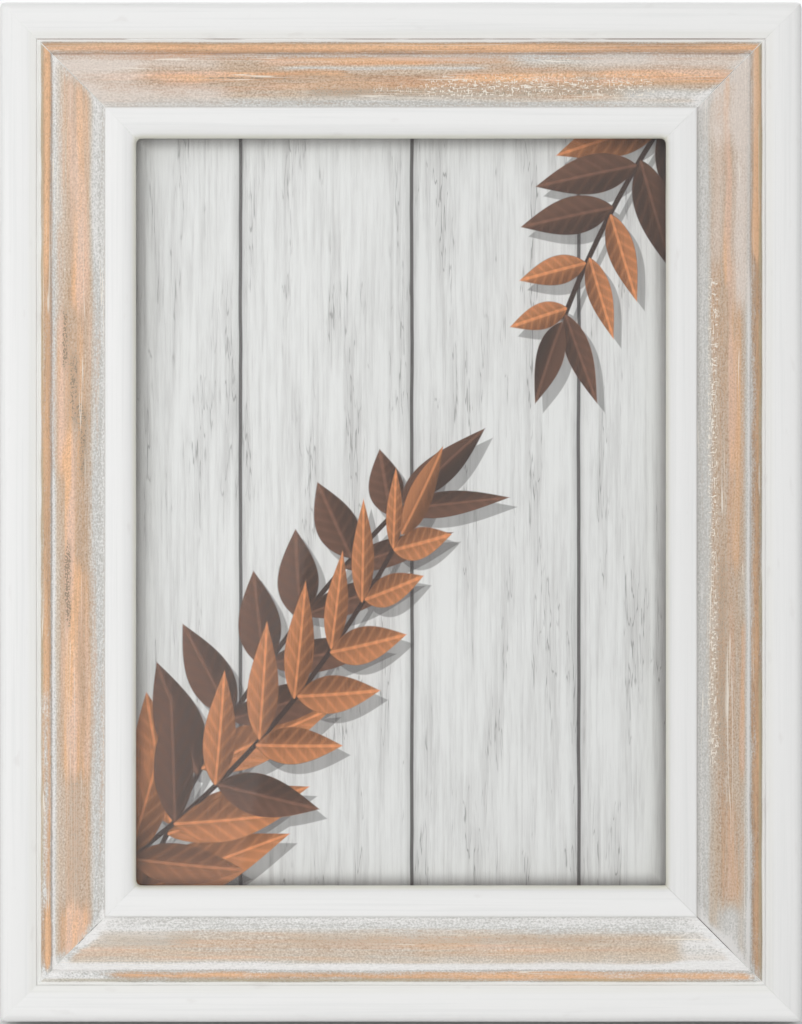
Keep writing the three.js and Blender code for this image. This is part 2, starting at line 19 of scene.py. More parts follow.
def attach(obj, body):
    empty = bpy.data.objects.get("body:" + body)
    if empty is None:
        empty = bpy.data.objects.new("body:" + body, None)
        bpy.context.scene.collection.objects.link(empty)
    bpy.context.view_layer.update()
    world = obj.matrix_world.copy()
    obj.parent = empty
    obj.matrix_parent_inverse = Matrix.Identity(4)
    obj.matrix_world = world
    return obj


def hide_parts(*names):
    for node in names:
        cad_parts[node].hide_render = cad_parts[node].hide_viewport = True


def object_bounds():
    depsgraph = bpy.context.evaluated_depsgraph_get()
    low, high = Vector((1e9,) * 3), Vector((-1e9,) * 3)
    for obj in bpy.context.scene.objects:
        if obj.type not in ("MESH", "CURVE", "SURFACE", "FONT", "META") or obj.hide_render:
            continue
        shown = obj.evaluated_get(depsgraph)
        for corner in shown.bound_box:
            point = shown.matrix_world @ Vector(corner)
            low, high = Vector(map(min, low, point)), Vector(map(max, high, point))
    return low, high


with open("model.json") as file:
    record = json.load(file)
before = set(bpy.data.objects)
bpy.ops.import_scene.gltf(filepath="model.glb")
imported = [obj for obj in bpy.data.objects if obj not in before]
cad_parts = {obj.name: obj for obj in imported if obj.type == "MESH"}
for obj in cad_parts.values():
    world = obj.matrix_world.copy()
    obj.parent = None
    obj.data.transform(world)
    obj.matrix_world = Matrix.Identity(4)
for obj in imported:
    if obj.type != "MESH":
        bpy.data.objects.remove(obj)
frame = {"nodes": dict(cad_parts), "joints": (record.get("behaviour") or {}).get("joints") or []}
CAD_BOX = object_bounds()

bl_info = {
    "name": "Wooden picture frame",
    "version": (1, 0, 0),
    "blender": (4, 5, 0),
    "location": "3D View > Sidebar > Picture frame",
    "description": "Models and finishes a distressed wooden picture frame round its CAD parts",
    "category": "Object",
}

MM = 0.001

# Directions and sizes that come from the CAD frame
JOINTS = {joint["name"]: joint for joint in frame["joints"]}
RIGHT = Vector((1, 0, 0))
BACK = Vector(JOINTS["left_upper_swivel"]["axis"]).normalized()
UP = RIGHT.cross(BACK)


def span(node, direction):
    """Least and greatest reach of a CAD node along a direction."""
    reaches = [vertex.co.dot(direction) for vertex in frame["nodes"][node].data.vertices]
    return min(reaches), max(reaches)


def extent(node, direction):
    """Size of a CAD node along a direction."""
    low, high = span(node, direction)
    return high - low


FRAME_WIDTH = CAD_BOX[1].x - CAD_BOX[0].x
BOTTOM_EDGE = span("bottom_rail", UP)[0]
FRAME_HEIGHT = span("top_rail", UP)[1] - BOTTOM_EDGE
BACK_FACE = span("left_rail", BACK)[1]
MOULDING_WIDTH = extent("left_rail", RIGHT)
MOULDING_DEPTH = extent("left_rail", BACK)
SIGHT_WIDTH = FRAME_WIDTH - 2 * MOULDING_WIDTH
SIGHT_HEIGHT = FRAME_HEIGHT - 2 * MOULDING_WIDTH

LEANING = Matrix((RIGHT, BACK, UP)).transposed().to_4x4()
LEANING.translation = UP * BOTTOM_EDGE + BACK * BACK_FACE
UPRIGHT = LEANING.inverted()


def leaning_at(point, turn):
    """Where a piece stands that is turned about Y and set at a point of the upright frame."""
    return LEANING @ Matrix.Translation(point) @ Matrix.Rotation(turn, 4, "Y")


# Each rail lies along X with its outer edge on the X axis, is turned about Y and set in its place.
RAILS = {
    "bottom": (FRAME_WIDTH, 0, Vector((0, 0, 0))),
    "right": (FRAME_HEIGHT, -math.pi / 2, Vector((FRAME_WIDTH / 2, 0, FRAME_HEIGHT / 2))),
    "top": (FRAME_WIDTH, math.pi, Vector((0, 0, FRAME_HEIGHT))),
    "left": (FRAME_HEIGHT, math.pi / 2, Vector((-FRAME_WIDTH / 2, 0, FRAME_HEIGHT / 2))),
}
# The left and bottom rails run the way the picture is read, from the left or the top
READS_FORWARD = {"bottom": True, "right": False, "top": False, "left": True}


# Settings


def size(label, millimetres, note):
    """A length that a user may change."""
    return FloatProperty(
        name=label, description=note, default=millimetres * MM, min=0, unit="LENGTH", precision=5
    )


def share(label, value, note):
    """A strength from none to full."""
    return FloatProperty(name=label, description=note, default=value, min=0, soft_max=1, subtype="FACTOR")


def colour(label, red, green, blue, note):
    """A colour as it is seen on a screen, in steps of 0 to 255."""
    return FloatVectorProperty(
        name=label,
        description=note,
        default=(red / 255, green / 255, blue / 255),
        min=0,
        max=1,
        size=3,
        subtype="COLOR_GAMMA",
    )


class FrameMoulding(PropertyGroup):
    """Members of the moulding, from the outer edge to the picture."""

    rim_width: size("Rim width", 8.4, "Outer rim of the moulding")
    rim_round: size("Rim round", 1.9, "Radius of the outer edge")
    rim_break: size("Rim break", 5.2, "From the outer edge to where the rim begins to fall")
    rim_fall: size("Rim fall", 1.1, "Fall of the rim towards the quirk")
    rim_arris: size("Rim arris", 0.4, "Eased inner edge of the rim")
    quirk_width: size("Quirk width", 0.8, "Groove between rim and bead")
    quirk_depth: size("Quirk depth", 0.9, "Groove under the rim's inner edge")
    quirk_fill: size("Quirk fill", 0.72, "Paint that has gathered in the groove")
    bead_width: size("Bead width", 2.6, "Half-round bead")
    bead_rise: size("Bead rise", 1.2, "Bead over the quirk")
    field_width: size("Field width", 12.2, "Broad swelling field")
    field_drop: size("Field drop", 2.2, "Fall of the field from the bead to the band")
    field_crown: size("Field crown", 0.8, "Swell of the field over a straight line")
    band_step: size("Band step", 1.2, "Band over the field's inner edge")
    band_arris: size("Band arris", 0.5, "Eased edge of that step")
    step_fill: size("Step fill", 0.6, "Paint that has gathered at the foot of that step")
    band_roll: size("Band roll", 4.2, "Width of the band's roll to the picture")
    band_roll_drop: size("Roll drop", 3.2, "Fall of that roll")
    rebate_wall: size("Rebate wall", 26.5, "From the outer edge to the rebate")
    rebate_depth: size("Rebate depth", 6.2, "Rebate for glass, print and board")
    back_arris: size("Back arris", 0.4, "Eased edges at the back")
    ring_step: size("Ring step", 1.3, "Distance between the rings of a rail's mesh")
    relief: size("Grain relief", 0.05, "Height of the brushed grain")
    waver: size("Waver", 0.08, "How far hand sanding strays from the straight")
    mitre_groove: size("Mitre groove", 0.04, "Depth of the hairline at the corners")
    corner_fillet: size("Corner fillet", 1.2, "Radius of the paint in the corners of the sight edge")
    corner_round: size("Corner round", 0.9, "Radius of the frame's outer corners")


class FramePaint(PropertyGroup):
    """Paint and wood of the rails."""

    white: colour("White paint", 241, 241, 240, "Solid paint on rim and band")
    white_shade: colour("Brush marks", 229, 230, 229, "Thinner strokes in the white paint")
    # Thick paint, also laid in the quirk as a painted highlight along the bead's outer edge
    bright: colour("Thick paint", 247, 248, 245, "Paint that has gathered by the bead and at the mitres")
    cream: colour("Cream", 231, 229, 212, "Warm paint beside the quirk and at the sight edge")
    wash: colour("Wash", 203, 204, 201, "Paint that is left in the grain")
    wash_light: colour("Light wash", 226, 227, 225, "Thicker patches of that paint")
    wash_warm: colour("Warm wash", 213, 198, 180, "Paint that is rubbed into the bare field")
    limed: colour("Limed wood", 226, 214, 204, "Thin pale paint that veils the wood near the corners")
    clean_wood: colour("Clean wood", 237, 190, 149, "Freshly sanded wood")
    pink_wood: colour("Pink wood", 232, 196, 172, "Sanded wood that is a little cooler")
    tan_wood: colour("Tan wood", 205, 170, 139, "Sanded wood with a film of paint")
    rust_wood: colour("Rust wood", 214, 160, 120, "Late wood that shows red")
    brown_wood: colour("Brown pores", 160, 130, 104, "Open pores and fibres")
    dark_grain: colour("Dark grain", 146, 131, 112, "Grey-brown streaks")
    olive: colour("Olive edge", 192, 178, 146, "Paint that is rubbed thin along the bead")
    fleck: colour("Flecks", 249, 242, 230, "Chips of paint left across the grain")
    # Grime, and painted shade in the moulding's corners: the quirk, the hollow beside the bead and the
    # step's foot
    grime_and_shade_tint: colour("Glaze", 158, 140, 132, "Dirt in the corners of the moulding")
    crack: colour("Cracks", 96, 84, 76, "Open hairline of a mitre")
    raw_wood: colour("Raw wood", 222, 194, 156, "Unpainted back of the rails")
    raw_grain: colour("Raw grain", 190, 152, 110, "Late wood in the unpainted back")


class FramePrint(PropertyGroup):
    """Generic printed sheet: dried leaves on whitewashed boards."""

    board: colour("Boards", 252, 251, 250, "Whitewashed boards")
    board_grey: colour("Board grain", 220, 218, 217, "Grain in the boards")
    seam: colour("Seams", 62, 54, 54, "Gaps between the boards")
    twig: colour("Twigs", 66, 46, 40, "Stems of the leaves")
    brown_leaf: colour("Brown leaves", 122, 84, 66, "Dried leaves")
    copper_leaf: colour("Copper leaves", 222, 146, 96, "Bright leaves")
    shadow: share("Shadow", 0.5, "Strength of the shadows that the leaves throw")
    # Painted shadow: darkening laid into the sheet where the frame's sight edge shades it
    sight_edge_shadow: share("Vignette", 0.55, "Printed shade along the sight edge")


class FrameBack(PropertyGroup):
    """Finish of the board back, the strut and the metal."""

    coat: colour("Board coat", 62, 58, 55, "Dark coating of panel and strut")
    coat_worn: colour("Worn coat", 96, 89, 83, "Scuffed coating")
    coat_dust: colour("Dust", 158, 150, 140, "Dust and scratches on the coating")
    board_edge: colour("Board edge", 142, 108, 76, "Bare fibreboard at the edges")
    zinc: colour("Zinc", 206, 208, 208, "Zinc plated steel")
    zinc_dull: colour("Dull zinc", 168, 168, 162, "Handled and stained plating")
    board_arris: size("Board arris", 0.35, "Eased edges of the boards")
    sheet_arris: size("Sheet arris", 0.15, "Eased edges of sheet metal")
    rivet_shank: size("Rivet shank", 1.2, "Radius of a rivet")
    rivet_head: size("Rivet head", 2.4, "Radius of a rivet's head")
    rivet_rise: size("Rivet rise", 0.9, "Height of a rivet's head")
    rivet_tail: size("Rivet tail", 2.0, "Radius of a rivet's flat tail")
    rivet_sheet: size("Tail thickness", 0.6, "Thickness of that tail")
    rivet_arris: size("Tail arris", 0.1, "Eased edge of that tail")
    rivet_sink: size("Tail sink", 0.2, "How deep that tail lies in the board")


class FrameNails(PropertyGroup):
    """V-nails in the back of the mitres."""

    sheet: size("Sheet", 0.6, "Thickness of the steel")
    leg: size("Leg", 5.0, "Length of a leg along the rail")
    depth: size("Depth", 7.0, "How deep the nail is driven")
    proud: size("Proud", 0.03, "What stands out of the wood")
    outer: size("Outer nail", 7.0, "From the outer edge to the outer nail")
    inner: size("Inner nail", 17.0, "From the outer edge to the inner nail")


class FrameButtons(PropertyGroup):
    """Turn buttons and their screws."""

    hub: size("Hub", 4.2, "Radius of the round end")
    tip: size("Tip", 2.6, "Radius of the narrow end")
    reach: size("Reach", 11.0, "From the screw to the middle of the narrow end")
    sheet: size("Sheet", 0.9, "Thickness of the steel")
    lift: size("Lift", 0.3, "Play under the button")
    pressing: size("Pressing", 0.25, "Height of the pressed middle")
    screw_shank: size("Screw shank", 1.3, "Radius of the screw")
    screw_play: size("Screw play", 0.2, "Clearance round the screw")
    screw_length: size("Screw length", 9.0, "Screw below the back face")
    screw_head: size("Screw head", 2.7, "Radius of the head")
    screw_rise: size("Head rise", 1.5, "Height of the head")
    slot_length: size("Slot length", 3.0, "Arms of the cross recess, end to end")
    slot_width: size("Slot width", 0.7, "Width of the arms")
    slot_depth: size("Slot depth", 0.8, "Depth of the recess")


class FrameEasel(PropertyGroup):
    """Folding strut and its hinge."""

    top_width: size("Top width", 32.0, "Strut at its shoulders")
    foot_width: size("Foot width", 50.0, "Strut at its foot")
    shoulder: size("Shoulder", 7.0, "Radius of the shoulders")
    sheet: size("Sheet", 0.8, "Thickness of the hinge")
    bore: size("Bore", 1.3, "Radius inside the knuckles")
    play: size("Play", 0.5, "Clearance beside and past the knuckles")
    pin_play: size("Pin play", 0.3, "Clearance round the pin")
    pin_head: size("Pin head", 0.6, "Length of the pin's heads, half of it tapered")
    base_knuckle: size("Base knuckle", 5.0, "Length of a knuckle of the base")
    leaf_knuckle: size("Leaf knuckle", 4.5, "Length of a knuckle of the leaf")
    stop_width: size("Stop width", 6.0, "Tongue that stops the open strut")
    stop_reach: size("Stop reach", 4.25, "Tongue above the pin")
    base_height: size("Base height", 20.0, "Base plate above the pin")
    base_corner: size("Base corner", 5.0, "Radius of the base plate's corners")
    base_rivet: size("Base rivet inset", 6.5, "From the base plate's edges to its rivets")
    leaf_length: size("Leaf length", 27.0, "Leaf below the pin")
    leaf_end: size("Leaf end", 12.0, "Width of the leaf's end")
    leaf_rivet: size("Leaf rivet inset", 7.0, "From the leaf's ends to its rivets")


class FrameHanger(PropertyGroup):
    """Strap and ring that the frame hangs by."""

    strap_width: size("Strap width", 8.0, "Folded strap")
    strap_length: size("Strap length", 13.0, "Strap below the ring's bar")
    strap_sheet: size("Strap sheet", 0.7, "Thickness of the strap")
    strap_bore: size("Strap bore", 1.1, "Radius inside the fold")
    rivet_drop: size("Rivet drop", 8.0, "From the ring's bar to the rivet")
    ring_wire: size("Ring wire", 0.8, "Radius of the wire")
    ring_width: size("Ring width", 19.0, "Bar of the ring")
    ring_height: size("Ring height", 17.0, "From the bar to the point")
    ring_bend: size("Ring bend", 3.0, "Bends of the wire")


class FrameStage(PropertyGroup):
    """Floor, lamps and camera."""

    floor: colour("Floor", 236, 236, 236, "Pale floor")
    floor_radius: FloatProperty(name="Floor radius", description="Pale disc", default=2.5, unit="LENGTH")
    ambient: share("Ambient", 0.6, "Light from all round")
    key: FloatProperty(name="Key", description="Soft lamp at the upper left", default=3.1, unit="POWER")
    fill: FloatProperty(name="Fill", description="Soft lamp at the right", default=1.2, unit="POWER")
    back: FloatProperty(name="Back", description="Soft lamp above and behind", default=2.2, unit="POWER")
    lens: FloatProperty(name="Lens", description="Focal length", default=400, unit="CAMERA")
    picture_height: size("Picture height", 234.9, "Height that the camera takes in at the rails")


SETTINGS = {
    "frame_moulding": FrameMoulding,
    "frame_paint": FramePaint,
    "frame_print": FramePrint,
    "frame_back": FrameBack,
    "frame_nails": FrameNails,
    "frame_buttons": FrameButtons,
    "frame_easel": FrameEasel,
    "frame_hanger": FrameHanger,
    "frame_stage": FrameStage,
}


# Node trees


def linear(tint):
    """A screen colour as the renderer's linear colour with full alpha."""
    parts = [part / 12.92 if part <= 0.04045 else ((part + 0.055) / 1.055) ** 2.4 for part in tint]
    return (*parts, 1.0)


class Value:
    """A number that a node gives, for use in arithmetic."""

    def __init__(self, graph, socket):
        self.graph = graph
        self.socket = socket

    def _math(self, operation, *others):
        node = self.graph.add("ShaderNodeMath", operation=operation)
        for socket, operand in zip(node.inputs, (self, *others)):
            self.graph.feed(socket, operand)
        return Value(self.graph, node.outputs[0])

    def __add__(self, other):
        return self._math("ADD", other)

    def __sub__(self, other):
        return self._math("SUBTRACT", other)

    def __mul__(self, other):
        return self._math("MULTIPLY", other)

    def __truediv__(self, other):
        return self._math("DIVIDE", other)

    def power(self, exponent):
        return self._math("POWER", exponent)

    def size(self):
        return self._math("ABSOLUTE")

    def floor(self):
        return self._math("FLOOR")

    def sine(self):
        return self._math("SINE")

    def cosine(self):
        return self._math("COSINE")

    def least(self, other):
        return self._math("MINIMUM", other)

    def most(self, other):
        return self._math("MAXIMUM", other)

    def side(self):
        return self._math("SIGN")

    def inverse(self):
        return (self * -1.0) + 1.0

    def rise(self, low, high):
        """0 below low, 1 above high, with a smooth climb between."""
        node = self.graph.add("ShaderNodeMapRange", interpolation_type="SMOOTHSTEP")
        for socket, operand in zip(node.inputs, (self, low, high, 0.0, 1.0)):
            self.graph.feed(socket, operand)
        return Value(self.graph, node.outputs[0])

    def fall(self, low, high):
        """1 below low, 0 above high."""
        return self.rise(low, high).inverse()

    def within(self, low, high, soft):
        """1 between low and high, with soft edges."""
        return self.rise(low - soft, low + soft) * self.fall(high - soft, high + soft)


class Graph:
    """A node tree that is written as formulas."""

    def __init__(self, tree):
        self.tree = tree

    def add(self, kind, **settings):
        node = self.tree.nodes.new(kind)
        for name, value in settings.items():
            setattr(node, name, value)
        return node

    def feed(self, socket, value):
        if isinstance(value, Value):
            self.tree.links.new(value.socket, socket)
        else:
            socket.default_value = value

    def attribute(self, name, output="Fac"):
        node = self.add("ShaderNodeAttribute", attribute_name=name)
        return Value(self, node.outputs[output])

    def upright_place(self):
        """Object coordinates turned upright, as three numbers in millimetres."""
        coordinates = self.add("ShaderNodeTexCoord")
        mapping = self.add("ShaderNodeMapping")
        mapping.inputs["Location"].default_value = UPRIGHT.translation / MM
        mapping.inputs["Rotation"].default_value = UPRIGHT.to_euler()
        mapping.inputs["Scale"].default_value = Vector((1, 1, 1)) / MM
        self.tree.links.new(coordinates.outputs["Object"], mapping.inputs["Vector"])
        return self.split(Value(self, mapping.outputs[0]))

    def split(self, vector):
        node = self.add("ShaderNodeSeparateXYZ")
        self.feed(node.inputs[0], vector)
        return [Value(self, socket) for socket in node.outputs]

    def join(self, x, y, z):
        node = self.add("ShaderNodeCombineXYZ")
        for socket, value in zip(node.inputs, (x, y, z)):
            self.feed(socket, value)
        return Value(self, node.outputs[0])

    def noise(self, x, y, z, detail=4.0, roughness=0.6):
        node = self.add("ShaderNodeTexNoise")
        self.feed(node.inputs["Vector"], self.join(x, y, z))
        node.inputs["Scale"].default_value = 1.0
        node.inputs["Detail"].default_value = detail
        node.inputs["Roughness"].default_value = roughness
        return Value(self, node.outputs[0])

    def chance(self, number):
        """A number from 0 to 1 that differs for each whole number."""
        node = self.add("ShaderNodeTexWhiteNoise", noise_dimensions="1D")
        self.feed(node.inputs["W"], number)
        return Value(self, node.outputs["Value"])

    def curve(self, value, points):
        """A value read off a curve through pairs of place and height."""
        low, high = points[0][0], points[-1][0]
        node = self.add("ShaderNodeValToRGB")
        stops = node.color_ramp.elements
        while len(stops) < len(points):
            stops.new(0.5)
        for stop, (place, height) in zip(stops, points):
            stop.position = (place - low) / (high - low)
            stop.color = (height, height, height, 1.0)
        self.feed(node.inputs[0], (value - low) / (high - low))
        return Value(self, node.outputs["Color"])

    def mix(self, factor, under, over, blend="MIX"):
        """The colour under, covered by the colour over as far as factor says."""
        node = self.add("ShaderNodeMix", data_type="RGBA", blend_type=blend)
        for socket, value in zip((node.inputs[0], node.inputs[6], node.inputs[7]), (factor, under, over)):
            self.feed(socket, value)
        return Value(self, node.outputs[2])


def new_material(name):
    """An empty material, with the graph that its nodes are written in."""
    material = bpy.data.materials.new(name)
    material.use_nodes = True
    material.node_tree.nodes.clear()
    return material, Graph(material.node_tree)


def show(graph, shader):
    """Puts a shader on the surface."""
    output = graph.add("ShaderNodeOutputMaterial")
    graph.tree.links.new(shader.outputs[0], output.inputs["Surface"])


def show_mixed(graph, share_of_second, first, second):
    """Puts a mixture of two shaders on the surface."""
    both = graph.add("ShaderNodeMixShader")
    graph.feed(both.inputs[0], share_of_second)
    for socket, shader in zip(both.inputs[1:], (first, second)):
        graph.tree.links.new(shader.outputs[0], socket)
    show(graph, both)


def surface(graph, tint, roughness, height=None, metallic=0.0):
    """A Principled surface. Height is relief in millimetres."""
    shader = graph.add("ShaderNodeBsdfPrincipled")
    graph.feed(shader.inputs["Base Color"], tint)
    graph.feed(shader.inputs["Roughness"], roughness)
    shader.inputs["Metallic"].default_value = metallic
    if height is not None:
        bump = graph.add("ShaderNodeBump")
        bump.inputs["Distance"].default_value = MM
        graph.feed(bump.inputs["Height"], height)
        graph.tree.links.new(bump.outputs[0], shader.inputs["Normal"])
    show(graph, shader)
    return shader


# Mesh work


def new_piece(name, bm, there, material, body, slot, *nodes):
    """A finished bmesh, put in its place, as a piece that rides on a body and stands for CAD nodes."""
    place(bm, there)
    mesh = bpy.data.meshes.new(name)
    bm.to_mesh(mesh)
    bm.free()
    mesh.materials.append(material)
    piece = bpy.data.objects.new(name, mesh)
    bpy.context.scene.collection.objects.link(piece)
    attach(piece, body)
    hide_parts(*nodes)
    return piece


def finish_node(node, material):
    """A CAD node that keeps its shape and gets a finished material."""
    for slot in frame["nodes"][node].material_slots:
        slot.material = material


def shade(bm, degrees=35):
    """Smooth faces, with an edge where they meet at more than the angle."""
    bm.normal_update()
    for face in bm.faces:
        face.smooth = True
    for edge in bm.edges:
        edge.smooth = edge.calc_face_angle(math.pi) < math.radians(degrees)


def place(bm, matrix):
    """Moves a whole bmesh."""
    bmesh.ops.transform(bm, matrix=matrix, verts=bm.verts)


def grow(bm, edges):
    """Extrudes edges and returns the new edges and their points."""
    grown = bmesh.ops.extrude_edge_only(bm, edges=edges)["geom"]
    verts = {item for item in grown if isinstance(item, bmesh.types.BMVert)}
    sides = [item for item in grown if isinstance(item, bmesh.types.BMEdge)]
    return [edge for edge in sides if verts.issuperset(edge.verts)], verts


def close_ends(bm):
    """Fills open ends and turns all faces outward."""
    bmesh.ops.holes_fill(bm, edges=[edge for edge in bm.edges if edge.is_boundary], sides=0)
    bmesh.ops.recalc_face_normals(bm, faces=bm.faces)


def line(start, end, steps):
    """Points of a straight stretch, without its end."""
    return [start.lerp(end, i / steps) for i in range(steps)]


def bend(start, control, end, steps):
    """Points of a parabola that starts and ends towards its control point, without its end."""
    shares = [i / steps for i in range(steps)]
    return [start.lerp(control, t).lerp(control.lerp(end, t), t) for t in shares]


def arc(centre, reach, rise, start, end, steps):
    """Points of an ellipse from one angle to another in degrees, without the last."""
    angles = [math.radians(start + (end - start) * i / steps) for i in range(steps)]
    return [centre + Vector((reach * math.cos(a), rise * math.sin(a))) for a in angles]


def smooth_step(low, high, value):
    """0 below low, 1 above high, with a smooth climb between."""
    t = min(max((value - low) / (high - low), 0.0), 1.0)
    return t * t * (3 - 2 * t)


# Rails


def member_places(m):
    """Where quirk, bead, field and band begin, in millimetres from the outer edge."""
    quirk = m.rim_width / MM
    bead = quirk + m.quirk_width / MM
    field = bead + m.bead_width / MM
    band = field + m.field_width / MM
    return quirk, bead, field, band


def moulding_section(m):
    """Outline of the moulding: distance from the outer edge, and height over the back face."""
    rim_crest = MOULDING_DEPTH
    rim_edge = rim_crest - m.rim_fall
    quirk = rim_edge - m.quirk_depth
    bead_middle = m.rim_width + m.quirk_width + m.bead_width / 2
    bead_end = bead_middle + m.bead_width / 2
    band_start = bead_end + m.field_width
    field_end = quirk - m.field_drop
    band_crest = field_end + m.band_step
    roll_start = MOULDING_WIDTH - m.band_roll
    sight_edge = band_crest - m.band_roll_drop
    swell = Vector(((bead_end + band_start) / 2, (quirk + field_end) / 2 + 2 * m.field_crown))
    arris = m.back_arris

    outer_low = Vector((0, arris))
    outer_high = Vector((0, rim_crest - m.rim_round))
    rim_flat = Vector((m.rim_round, rim_crest))
    rim_corner = Vector((m.rim_width, rim_edge))
    rim_end = rim_corner + Vector((-m.rim_arris, m.rim_arris * m.rim_fall / m.rim_width))
    quirk_top = rim_corner - Vector((0, m.rim_arris))
    quirk_floor = Vector((m.rim_width, quirk + m.quirk_fill))
    quirk_out = quirk_floor + Vector((m.quirk_width / 2, 0))
    field_in = Vector((bead_end, quirk))
    step_foot = Vector((band_start - m.step_fill, field_end + m.step_fill * m.field_drop / m.field_width))
    step_corner = Vector((band_start, field_end))
    step_top = Vector((band_start, band_crest - m.band_arris))
    band_edge = Vector((band_start + m.band_arris, band_crest))
    roll_top = Vector((roll_start, band_crest))
    sight_high = Vector((MOULDING_WIDTH, sight_edge))
    sight_low = Vector((MOULDING_WIDTH, m.rebate_depth + arris))
    sight_under = Vector((MOULDING_WIDTH - arris, m.rebate_depth))
    rebate_in = Vector((m.rebate_wall, m.rebate_depth))
    rebate_out = Vector((m.rebate_wall, arris))
    back_in = Vector((m.rebate_wall - arris, 0))
    back_out = Vector((arris, 0))

    return [
        *line(outer_low, outer_high, 6),
        *arc(Vector((m.rim_round, outer_high.y)), m.rim_round, m.rim_round, 180, 90, 10),
        *bend(rim_flat, Vector((m.rim_break, rim_crest)), rim_end, 13),
        *bend(rim_end, rim_corner, quirk_top, 4),
        *bend(quirk_top, quirk_floor, quirk_out, 4),
        *arc(Vector((bead_middle, quirk)), m.bead_width / 2, m.bead_rise, 166, 8, 18),
        *bend(field_in, swell, step_foot, 30),
        *bend(step_foot, step_corner, step_top, 4),
        *bend(step_top, Vector((band_start, band_crest)), band_edge, 5),
        *line(band_edge, roll_top, 5),
        *arc(Vector((roll_start, sight_edge)), m.band_roll, m.band_roll_drop, 90, 0, 14),
        *line(sight_high, sight_low, 6),
        *bend(sight_low, Vector((MOULDING_WIDTH, m.rebate_depth)), sight_under, 3),
        *line(sight_under, rebate_in, 4),
        *line(rebate_in, rebate_out, 4),
        *line(rebate_out, back_in, 1),
        *line(back_in, back_out, 12),
        back_out,
    ]


# Wear that stands out on each rail, in millimetres: kind, from and to along the rail as the picture is
# read, distance from the outer edge, half width, strength
WEAR = {
    "left": [
        ("clean", 8, 226, 10.6, 0.8, 0.35),
        ("clean", 8, 60, 10.6, 0.8, 0.4),
        ("clean", 18, 70, 17.7, 1.7, 0.9),
        ("paint", 4, 52, 13.4, 1.1, 0.4),
        ("paint", 4, 60, 21.4, 1.2, 0.35),
        ("limed", 14, 60, 17.5, 4.0, 0.2),
        ("clean", 72, 108, 14.2, 1.5, 0.8),
        ("clean", 100, 132, 16.2, 1.8, 0.6),
        ("dark", 70, 84, 14.9, 0.7, 0.8),
        ("dark", 80, 97, 17.0, 1.3, 0.6),
        ("dark", 92, 110, 19.0, 1.1, 0.6),
        ("dark", 124, 143, 15.6, 0.8, 1.0),
        ("clean", 130, 178, 17.6, 2.8, 0.7),
        ("dark", 176, 206, 17.2, 2.2, 0.3),
        ("limed", 180, 208, 17.0, 4.0, 0.15),
        ("clean", 208, 221, 17.0, 3.3, 1.3),
        ("clean", 209, 222, 10.9, 0.6, 1.0),
        ("paint", 158, 208, 10.4, 0.9, 0.6),
        ("paint", 222, 232, 10.5, 1.3, 1.0),
        ("paint", 108, 230, 12.3, 0.5, 0.5),
    ],
    "top": [
        ("clean", 8, 176, 10.5, 0.8, 0.95),
        ("limed", 10, 32, 17.0, 5.0, 0.6),
        ("limed", 12, 50, 14.0, 1.5, 0.6),
        ("limed", 12, 52, 21.0, 2.0, 0.7),
        ("clean", 24, 54, 16.8, 0.9, 0.7),
        ("clean", 37, 47, 18.2, 1.5, 0.8),
        ("clean", 46, 80, 16.3, 0.8, 0.9),
        ("dark", 46, 68, 17.4, 0.3, 0.8),
        ("clean", 60, 98, 13.8, 0.8, 0.8),
        ("clean", 104, 132, 17.2, 1.0, 0.8),
        ("flecks", 84, 150, 20.4, 2.4, 0.5),
        ("flecks", 98, 150, 18.6, 2.6, 0.6),
        ("dark", 70, 150, 20.6, 1.6, 0.45),
        ("clean", 138, 170, 17.0, 1.5, 0.9),
        ("limed", 134, 174, 13.7, 1.6, 0.7),
        ("paint", 142, 176, 21.2, 1.9, 0.6),
        ("paint", 64, 112, 15.3, 0.5, 0.6),
        ("paint", 118, 150, 13.4, 1.2, 0.5),
    ],
    "right": [
        ("clean", 14, 64, 16.9, 0.7, 1.3),
        ("limed", 10, 32, 17.0, 5.0, 0.5),
        ("limed", 12, 60, 19.2, 1.6, 0.5),
        ("limed", 10, 70, 13.9, 1.9, 0.95),
        ("clean", 6, 58, 10.5, 0.9, 1.4),
        ("clean", 60, 130, 14.6, 1.4, 0.6),
        ("clean", 78, 106, 15.9, 0.9, 0.7),
        ("clean", 142, 178, 13.6, 0.9, 0.8),
        ("dark", 126, 176, 18.4, 1.7, 0.4),
        ("flecks", 62, 176, 20.4, 1.3, 0.9),
        ("clean", 184, 208, 16.4, 2.4, 0.4),
        ("paint", 207, 224, 16.5, 4.0, 0.7),
        ("paint", 62, 220, 12.1, 0.5, 0.6),
        ("clean", 8, 226, 10.3, 0.6, 0.6),
    ],
    "bottom": [
        ("clean", 26, 174, 10.6, 0.8, 0.7),
        ("paint", 6, 24, 10.4, 1.2, 0.8),
        ("dark", 22, 46, 18.6, 2.2, 0.35),
        ("paint", 10, 176, 12.9, 1.0, 0.6),
        ("clean", 34, 60, 14.6, 0.7, 0.5),
        ("paint", 16, 40, 19.5, 2.6, 0.4),
        ("clean", 70, 128, 16.4, 1.2, 0.3),
        ("dark", 66, 140, 18.8, 1.6, 0.3),
        ("paint", 155, 180, 17.0, 4.2, 0.62),
    ],
}
WEAR_KINDS = ("clean", "dark", "paint", "flecks", "limed")
WEAR_FADE = 3.5  # soft ends of a worn place, in millimetres


